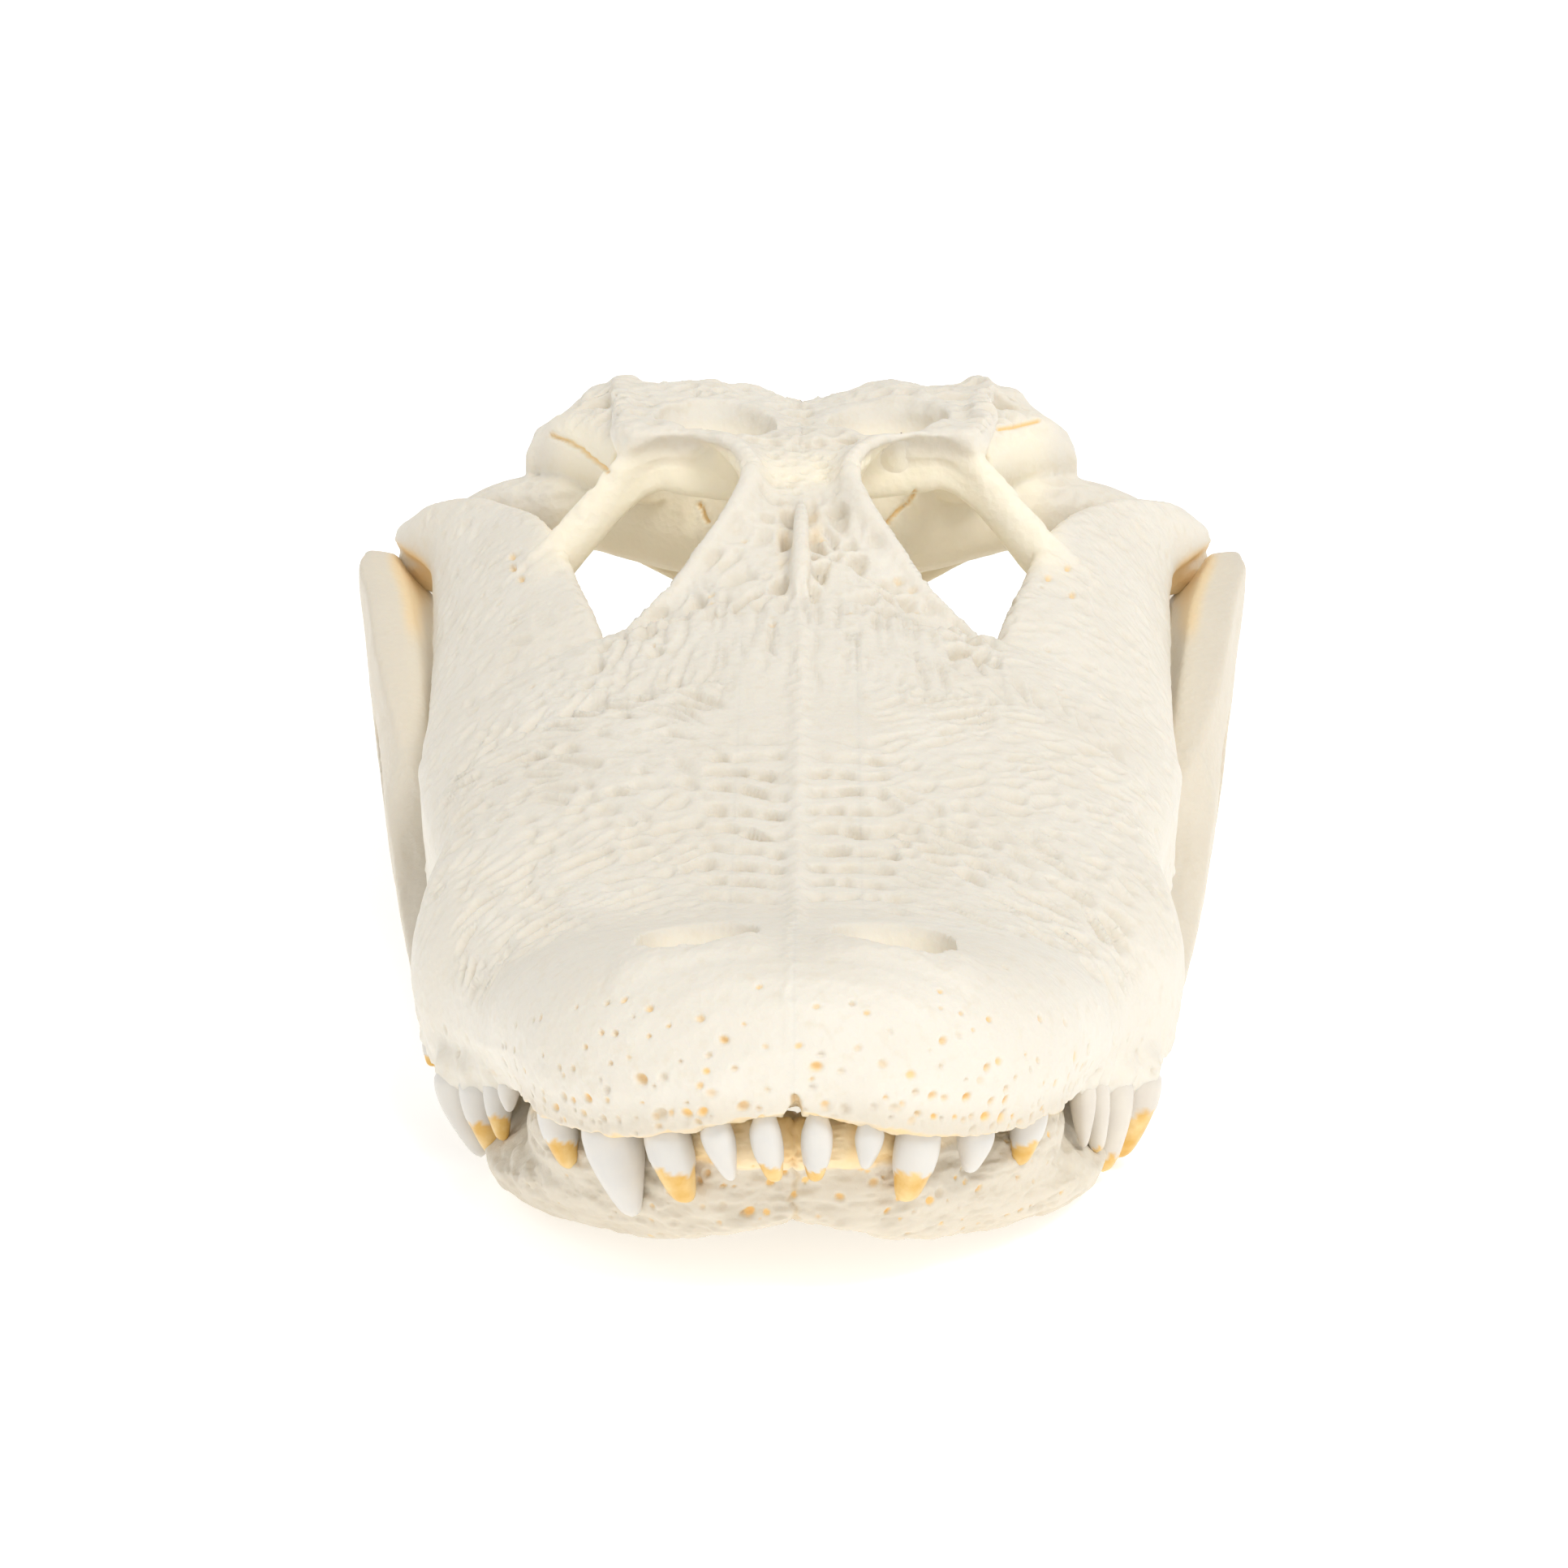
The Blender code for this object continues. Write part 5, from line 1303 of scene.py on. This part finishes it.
def finish_bones(thing, places, stain, cream_and_bounce, painted_shade, names):
    """Divide a dressed surface into its bones, each of which stands for its CAD node."""
    mesh = thing.data
    write_places(mesh, places)
    # Red holds amber stain, green cream colour and painted bounce light, blue painted shade
    shades = np.stack([stain, cream_and_bounce, painted_shade, np.ones(len(stain))], axis=1)
    corners = triangle_corners(mesh)
    bones = bone_of_faces(mesh, corners, names)
    normals = read_normals(mesh)
    for number, name in enumerate(names):
        bone = separate_bone("dressed_" + name, mesh, corners[bones == number], normals, shades)
        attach(bone, "root")
        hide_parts(name)
    remove([thing])


def fine_surface(form):
    """A form covered with a fine net, and the smoothed places of the net's points."""
    thing = remeshed(form)
    refine_front(thing)
    mesh = thing.data
    return thing, relax(read_places(mesh), read_edges(mesh), SMOOTHING_ROUNDS)


def smooth_normals(mesh, places):
    """The directions out of the surface once its points are at their smoothed places."""
    write_places(mesh, places)
    return read_normals(mesh)


def upper_bones():
    """The dressed bones of the upper skull."""
    thing, places = fine_surface(upper_skull())
    at_rear = smooth_step(places[:, 1], *REAR_SMOOTHING_Y)[:, None]
    places += at_rear * (relax(places, read_edges(thing.data), REAR_SMOOTHING_ROUNDS) - places)
    normals = smooth_normals(thing.data, places)
    depth = sculpture(places, normals)
    notch = middle_notch(places)
    height = raised_forms(places, normals) + UNEVENNESS * rough_noise(places, 1.6, SEED)
    height += UPPER_WAVES * rough_noise(places, 7.0, SEED + 5)
    height -= NOTCH_DEPTH * notch + socket_dish(places, normals)
    places = places + normals * (height - depth)[:, None]
    stain = 0.6 * notch
    # Painted shade in the hollows of the sculpture and under the edge of the lip at the front
    from_lip = places[:, 2] - at(TOOTH_EDGE_Z, places[:, 1])
    lip_shade_band = band(from_lip, -2.0, 1.0, 1.0) * band(places[:, 1], -2.0, 12.0, 2.0)
    painted_shade = np.clip(0.75 * (depth + lip_shade_band), 0.0, 1.0)
    pores(places, normals, upper_pore_regions(places, normals), stain, painted_shade)
    mark_from_photo(places, normals, stain)
    stain = np.maximum(stain, upper_stains(places, normals))
    finish_bones(thing, places, stain, upper_cream_and_bounce_light(places, normals), painted_shade, UPPER_NODES)


def upper_cream_and_bounce_light(places, normals):
    """Where the upper skull gets cream colour and painted bounce light: inside the eye sockets, the
    nostrils and the mouth, where their walls lie in shade.
    """
    x, y, z = folded(places)
    downward = smooth_step(-normals[:, 2], 0.0, 0.6)
    walls = band(y, 73.0, 98.0, 2.0) * smooth_step(22.4 - z, 0.0, 2.0) * band(x, -5.0, 17.5, 1.5)
    under_brow = band(y, 60.0, 80.0, 2.0) * band(x, -5.0, 14.0, 1.5) * downward
    inside = smooth_step(at(JAW_HALF_WIDTH, y) - x, 2.0, 3.5)
    mouth = inside * downward * band(y, -2.0, 60.0, 2.0) * smooth_step(3.0 - z, 0.0, 2.0)
    nostrils = 1.0 - smooth_step(np.hypot((x - 5.1) / 3.2, (y - 11.4) / 5.1), 0.8, 1.05)
    nostrils *= smooth_step(at(SNOUT_TOP_Z, y) - z, 0.3, 1.0)
    return np.clip(0.8 * walls + 0.8 * under_brow + 0.9 * mouth + 0.35 * nostrils, 0.0, 1.0)


def upper_stains(places, normals):
    """Amber on the upper skull's gums, beside the crest and on the jaw joints' undersides."""
    x, y, z = folded(places)
    patches = smooth_step(rough_noise(places, 1.8, SEED + 61), -0.2, 0.5)
    downward = smooth_step(-normals[:, 2], 0.35, 0.85)
    near_edge = smooth_step(at(TOOTH_EDGE_Z, y) + 1.4 - z, 0.0, 0.8)
    gums = downward * band(y, -1.0, 12.0, 2.0) * near_edge
    joints = smooth_step(-normals[:, 2], -0.1, 0.5) * band(y, 95.0, 106.5, 2.0)
    joints *= smooth_step(x, 22.0, 26.0)
    beside_crest = band(x, 0.5, 1.4, 0.3) * band(y, 61.0, 71.0, 1.0)
    beside_crest *= smooth_step(normals[:, 2], 0.0, 0.3)
    return 0.75 * gums * (0.35 + 0.65 * patches) + 0.65 * joints + 0.3 * beside_crest * patches


def chin_seam(places):
    """Share of the seam's depth where the two halves of the lower jaw meet."""
    x, y, z = places.T
    sway = 0.12 * np.sin(3.1 * z) + 0.08 * np.sin(7.3 * z + 1.0)
    return hump(x - sway, 0.14) * smooth_step(16.0 - y, 0.0, 2.0)


def lower_sculpture(places, normals, seam):
    """Depth of the ripples of the chin, the streaks behind it and its seam."""
    chin = band(places[:, 1], 0.0, 20.0, 3.0)
    outside = smooth_step(places[:, 0] * normals[:, 0], 0.0, 4.0)
    ripples = rough_noise(places * np.array((0.65, 0.65, 1.8)), 1.0, SEED + 3)
    streaks = hollows(places, (6.0, 1.0), 1.45, SEED + 4)
    return (
        CHIN_RIPPLE_DEPTH * chin * smooth_step(ripples, -0.3, 0.6)
        + BLADE_STREAK_DEPTH * outside * (1.0 - chin) * streaks
        + CHIN_SEAM_DEPTH * seam
    )


def gum_share(places):
    """How much of the lower jaw's surface is gum: the ragged edge behind the upper teeth."""
    above_bone = places[:, 2] - at(RAMUS_TOP_Z, places[:, 1])
    ragged = 0.4 * rough_noise(places, 1.1, SEED + 73)
    gums = band(places[:, 1], 0.0, 18.0, 2.0) * smooth_step(above_bone + ragged, -1.2, -0.6)
    return gums * (1.0 - 0.5 * smooth_step(np.abs(places[:, 0]), 5.0, 8.0))


def crevice_share(places):
    """How much of the lower jaw's surface is in the crevice under the cheek."""
    x, y, z = folded(places)
    crevice = band(y, 84.0, 104.0, 3.0) * smooth_step(z, 6.4, 8.4)
    return crevice * smooth_step(at(RAMUS_TOP_X, y) - 0.4 - x, 0.0, 0.9)


def lower_bones():
    """The dressed bones of the lower jaw, joined by a faint seam at the chin."""
    thing, places = fine_surface(lower_jaw())
    normals = smooth_normals(thing.data, places)
    seam = chin_seam(places)
    depth = lower_sculpture(places, normals, seam)
    height = UNEVENNESS * rough_noise(places, 1.6, SEED + 8)
    height += LOWER_WAVES * rough_noise(places, 7.0, SEED + 9)
    above_floor = smooth_step(places[:, 2], FLOOR_Z + 0.05, FLOOR_Z + 0.8)
    places = places + normals * ((height - depth) * above_floor)[:, None]
    stain = 0.25 * seam
    # Painted shade over all of the lower jaw, deeper in its hollows and pores; the gums get none
    painted_shade = np.clip(0.72 + depth, 0.0, 1.0)
    pores(places, normals, lower_pore_regions(places, normals), stain, painted_shade)
    patches = smooth_step(rough_noise(places, 1.6, SEED + 71), -0.3, 0.5)
    gums = gum_share(places)
    amber = 0.85 * gums * (0.55 + 0.45 * patches) + 0.5 * crevice_share(places)
    stain = np.maximum(stain, amber)
    # Cream colour and painted bounce light on the faces turned to the middle and on the gums
    inner = smooth_step(-places[:, 0] * normals[:, 0], 0.0, 4.0)
    cream_and_bounce = np.clip(0.7 * inner + 0.9 * gums, 0.0, 1.0)
    finish_bones(thing, places, stain, cream_and_bounce, painted_shade * (1.0 - gums), LOWER_NODES)


# Teeth


def tooth_ring(share, radius, clean, wobble, tint):
    """Sideways (x, y) reaches around a tooth at a share of its length, with their stains."""
    girth = ROOT_GIRTH
    if share >= 0.0:
        girth = at(POINTED_GIRTH if clean > 1.0 else WORN_GIRTH, share)
    for side in range(TOOTH_SIDES):
        turn = 2.0 * math.pi * side / TOOTH_SIDES
        ragged = 0.05 * math.sin(2.0 * turn + wobble) + 0.035 * math.sin(7.0 * turn + wobble)
        stain = min(max((share - clean - ragged) / STAIN_EDGE, tint), 1.0)
        flute = 0.02 * math.sin(5.0 * turn + wobble) + 0.03 * math.sin(2.0 * turn + 7.0 * share)
        reach = radius * girth * (1.0 + flute) * (1.0 + (CORE_GIRTH - 1.0) * stain)
        yield reach * math.cos(turn), reach * math.sin(turn), stain


def tooth(mesh, shades, place, length, radius, direction, lean, clean, wobble, tint):
    """Add one tooth: a slightly bent cone, blunt where it is worn, with its stain amounts."""
    x, y, z = place
    layers = []
    shares = 1.0 - (1.0 - np.linspace(0.0, 1.0, TOOTH_LEVELS)) ** TIP_CROWDING
    for share in (-ROOT_DEPTH / length, *shares):
        shift = max(share, 0.0) ** TOOTH_BEND
        layer = []
        for across, along, stain in tooth_ring(share, radius, clean, wobble, tint):
            layer.append(mesh.verts.new(to_world((
                x + shift * lean[0] + across,
                y + shift * lean[1] + along,
                z + direction * length * share,
            ))))
            shades.append(stain)
        layers.append(layer)
    skin(mesh, layers)


def front_rows(side, rng):
    """The five teeth at the front of one side of the upper jaw."""
    for x, y, length, radius, clean, lean in FRONT_TEETH[side]:
        place = (x, y, at(TOOTH_EDGE_Z, y) + ROOT_RISE)
        yield place, length * rng.uniform(0.98, 1.02), radius, -1.0, (lean, 0.3), clean


def rear_rows(side, rng):
    """The teeth along one side of the upper jaw, at its outer edge."""
    for y, (length, radius, clean, lean) in zip(REAR_PLACES, REAR_TEETH[side]):
        inset = at(TOOTH_INSET, y) + TOOTH_INSET_SHARE * radius
        place = (at(JAW_HALF_WIDTH, y) - inset, y, at(TOOTH_EDGE_Z, y) + ROOT_RISE)
        yield place, length * rng.uniform(0.98, 1.02), radius, -1.0, (lean, -0.1), clean


def lower_rows(side, rng):
    """The teeth of one half of the lower jaw, standing inside the upper row."""
    for index, y in enumerate(LOWER_PLACES):
        length, radius = LARGE_TOOTH if index in LOWER_LARGE_TEETH else SMALL_TOOTH
        place = (at(RAMUS_TOP_X, y) + 0.1, y, at(RAMUS_TOP_Z, y) - 0.2)
        length *= rng.uniform(0.9, 1.05)
        radius *= rng.uniform(0.94, 1.05)
        yield place, length, radius, 1.0, (0.15, 0.0), rng.uniform(0.5, 1.2)


def teeth_piece(name, rows, side, rng):
    """One side's row of separate teeth as one object."""
    mesh = bmesh.new()
    shades = []
    for place, length, radius, direction, lean, clean in rows:
        tint = REAR_TINT[side] if place[1] > REAR_PLACES[0] - 1.0 else FRONT_TINT
        wobble = rng.uniform(0.0, 6.0)
        tooth(mesh, shades, place, length, radius, direction, lean, clean, wobble, tint)
    if side == "left":
        for vertex in mesh.verts:
            vertex.co.x = -vertex.co.x
    bmesh.ops.recalc_face_normals(mesh, faces=mesh.faces[:])
    made = new_object(name, mesh)
    colours = np.stack([np.array(shades)] * 3 + [np.ones(len(shades))], axis=1)
    store_colours(made.data, "tooth_stain", colours)
    made.data.shade_smooth()
    made.data.materials.append(ENAMEL)
    return made


# Materials


def new_material(name):
    """A material with nodes, and its lists of nodes and links."""
    made = bpy.data.materials.new(name)
    made.use_nodes = True
    return made, made.node_tree.nodes, made.node_tree.links


def set_inputs(node, values):
    """Set a node's inputs to plain values by their names."""
    for name, value in values.items():
        node.inputs[name].default_value = value
    return node


def mix_colour(nodes, links, share, first, second):
    """A node that mixes two colours, each a socket or a plain colour, by a share."""
    node = nodes.new("ShaderNodeMix")
    node.data_type = "RGBA"
    node.clamp_factor = True
    for number, value in ((0, share), (6, first), (7, second)):
        if isinstance(value, tuple):
            node.inputs[number].default_value = (*value, 1.0)
        else:
            links.new(value, node.inputs[number])
    return node.outputs[2]


def texture_node(nodes, links, kind, coordinates, values):
    """A texture node laid over coordinates."""
    texture = set_inputs(nodes.new(kind), values)
    links.new(coordinates, texture.inputs["Vector"])
    return texture


def noise_share(nodes, links, coordinates, scale, detail, low, high):
    """A 0 to 1 share from a noise texture, between two of its levels."""
    values = {"Scale": scale, "Detail": detail}
    texture = texture_node(nodes, links, "ShaderNodeTexNoise", coordinates, values)
    ramp = set_inputs(nodes.new("ShaderNodeMapRange"), {"From Min": low, "From Max": high})
    links.new(texture.outputs["Fac"], ramp.inputs["Value"])
    return ramp.outputs["Result"]


def stored_colour(nodes, name):
    """The colour that a mesh's points carry under a name."""
    node = nodes.new("ShaderNodeAttribute")
    node.attribute_name = name
    return node.outputs["Color"]


def bump_node(nodes, links, height, strength, distance):
    """A node that lets a texture's output stand for small heights."""
    node = set_inputs(nodes.new("ShaderNodeBump"), {"Strength": strength, "Distance": distance})
    links.new(height, node.inputs["Height"])
    return node


def bone_material():
    """Dry bleached bone: warm ivory, cream with painted bounce light inside, painted shade in its
    hollows, amber in its pores, with a fine grain.
    """
    made, nodes, links = new_material("ivory_bone")
    shader = set_inputs(nodes["Principled BSDF"], {
        "Subsurface Weight": 0.18, "Subsurface Radius": (1.0, 0.7, 0.45), "Subsurface Scale": 0.003,
    })
    coordinates = nodes.new("ShaderNodeTexCoord").outputs["Object"]
    split = nodes.new("ShaderNodeSeparateColor")
    links.new(stored_colour(nodes, "bone_shades"), split.inputs["Color"])
    blotch = noise_share(nodes, links, coordinates, 28.0, 3.0, 0.35, 0.7)
    speck = noise_share(nodes, links, coordinates, 260.0, 4.0, 0.55, 0.8)
    colour = mix_colour(nodes, links, blotch, *IVORY)
    colour = mix_colour(nodes, links, speck, colour, SPECKS)
    # Cream colour with painted bounce light, then painted shade in hollows, then amber stain
    for channel, shade in (("Green", CREAM_AND_BOUNCE_LIGHT), ("Blue", PAINTED_HOLLOW_SHADE), ("Red", AMBER)):
        colour = mix_colour(nodes, links, split.outputs[channel], colour, shade)
    links.new(colour, shader.inputs["Base Color"])
    roughness = set_inputs(nodes.new("ShaderNodeMapRange"), {"To Min": 0.48, "To Max": 0.66})
    patches = noise_share(nodes, links, coordinates, 90.0, 3.0, 0.3, 0.7)
    links.new(patches, roughness.inputs["Value"])
    links.new(roughness.outputs["Result"], shader.inputs["Roughness"])
    grain_size = {"Scale": 900.0, "Detail": 5.0}
    grain = texture_node(nodes, links, "ShaderNodeTexNoise", coordinates, grain_size)
    pitting = texture_node(nodes, links, "ShaderNodeTexVoronoi", coordinates, {"Scale": 420.0})
    fine = bump_node(nodes, links, grain.outputs["Fac"], 0.35, 0.0003)
    coarse = bump_node(nodes, links, pitting.outputs["Distance"], 0.3, 0.0006)
    links.new(fine.outputs["Normal"], coarse.inputs["Normal"])
    links.new(coarse.outputs["Normal"], shader.inputs["Normal"])
    return made


def enamel_material():
    """Warm white enamel that is amber where it is stained."""
    made, nodes, links = new_material("tooth_enamel")
    shader = set_inputs(nodes["Principled BSDF"], {
        "Roughness": 0.3, "Subsurface Weight": 0.15, "Subsurface Radius": (1.0, 0.8, 0.6),
        "Subsurface Scale": 0.002,
    })
    coordinates = nodes.new("ShaderNodeTexCoord").outputs["Object"]
    blotch = noise_share(nodes, links, coordinates, 160.0, 4.0, 0.35, 0.65)
    clean = mix_colour(nodes, links, blotch, *ENAMEL_WHITE)
    amber = mix_colour(nodes, links, blotch, *ENAMEL_AMBER)
    colour = mix_colour(nodes, links, stored_colour(nodes, "tooth_stain"), clean, amber)
    links.new(colour, shader.inputs["Base Color"])
    streaks = texture_node(nodes, links, "ShaderNodeTexNoise", coordinates, {"Scale": 500.0})
    bump = bump_node(nodes, links, streaks.outputs["Fac"], 0.2, 0.0003)
    links.new(bump.outputs["Normal"], shader.inputs["Normal"])
    return made


# Stage


def floor():
    """A wide, plain, pale floor."""
    mesh = bmesh.new()
    bmesh.ops.create_grid(mesh, x_segments=1, y_segments=1, size=FLOOR_HALF_SIDE)
    made = new_object("floor", mesh)
    finish, nodes, _ = new_material("pale_floor")
    set_inputs(nodes["Principled BSDF"], {
        "Base Color": (FLOOR_SHADE, FLOOR_SHADE, FLOOR_SHADE, 1.0), "Roughness": 0.9,
        "Emission Color": (1.0, 1.0, 1.0, 1.0), "Emission Strength": FLOOR_GLOW,
    })
    made.data.materials.append(finish)
    made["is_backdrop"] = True


def light():
    """Even white surroundings, a soft lamp from above and to the right and a fainter one in front."""
    world = bpy.data.worlds.new("studio")
    bpy.context.scene.world = world
    world.use_nodes = True
    background = world.node_tree.nodes["Background"]
    set_inputs(background, {"Color": (1.0, 1.0, 1.0, 1.0), "Strength": WORLD_STRENGTH})
    for name, strength, softness, tilt, turn in LAMPS:
        lamp = bpy.data.lights.new(name, "SUN")
        lamp.energy = strength
        lamp.angle = math.radians(softness)
        made = in_scene(name, lamp)
        made.rotation_euler = (math.radians(tilt), 0.0, math.radians(turn))


def camera():
    """The photograph's view: from in front and a little above, through a long lens."""
    lens = bpy.data.cameras.new("camera")
    lens.sensor_width = SENSOR_MM
    lens.lens = FOCAL_PIXELS / PHOTO_WIDTH * SENSOR_MM
    lens.clip_start = 0.01
    made = in_scene("camera", lens)
    made.location = to_world(CAMERA_PLACE)
    made.rotation_euler = (math.radians(90.0 - CAMERA_DOWN), 0.0, math.radians(CAMERA_ROLL_Z))
    bpy.context.scene.camera = made


def dress():
    """Make every piece, and say what it rides on."""
    rng = random.Random(SEED)
    upper_bones()
    lower_bones()
    for side in ("right", "left"):
        upper_row = list(front_rows(side, rng)) + list(rear_rows(side, rng))
        lower_row = list(lower_rows(side, rng))
        for name, row in (("upper_teeth_", upper_row), ("lower_teeth_", lower_row)):
            teeth = teeth_piece(name + side, row, side, rng)
            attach(teeth, "root")


camera()
light()
floor()
BONE = bone_material()
ENAMEL = enamel_material()
dress()
bpy.context.scene.view_settings.view_transform = "Standard"

boxes = {"cad": CAD_BOX, "visual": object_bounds()}
{name: [list(corner) for corner in box] for name, box in boxes.items()}
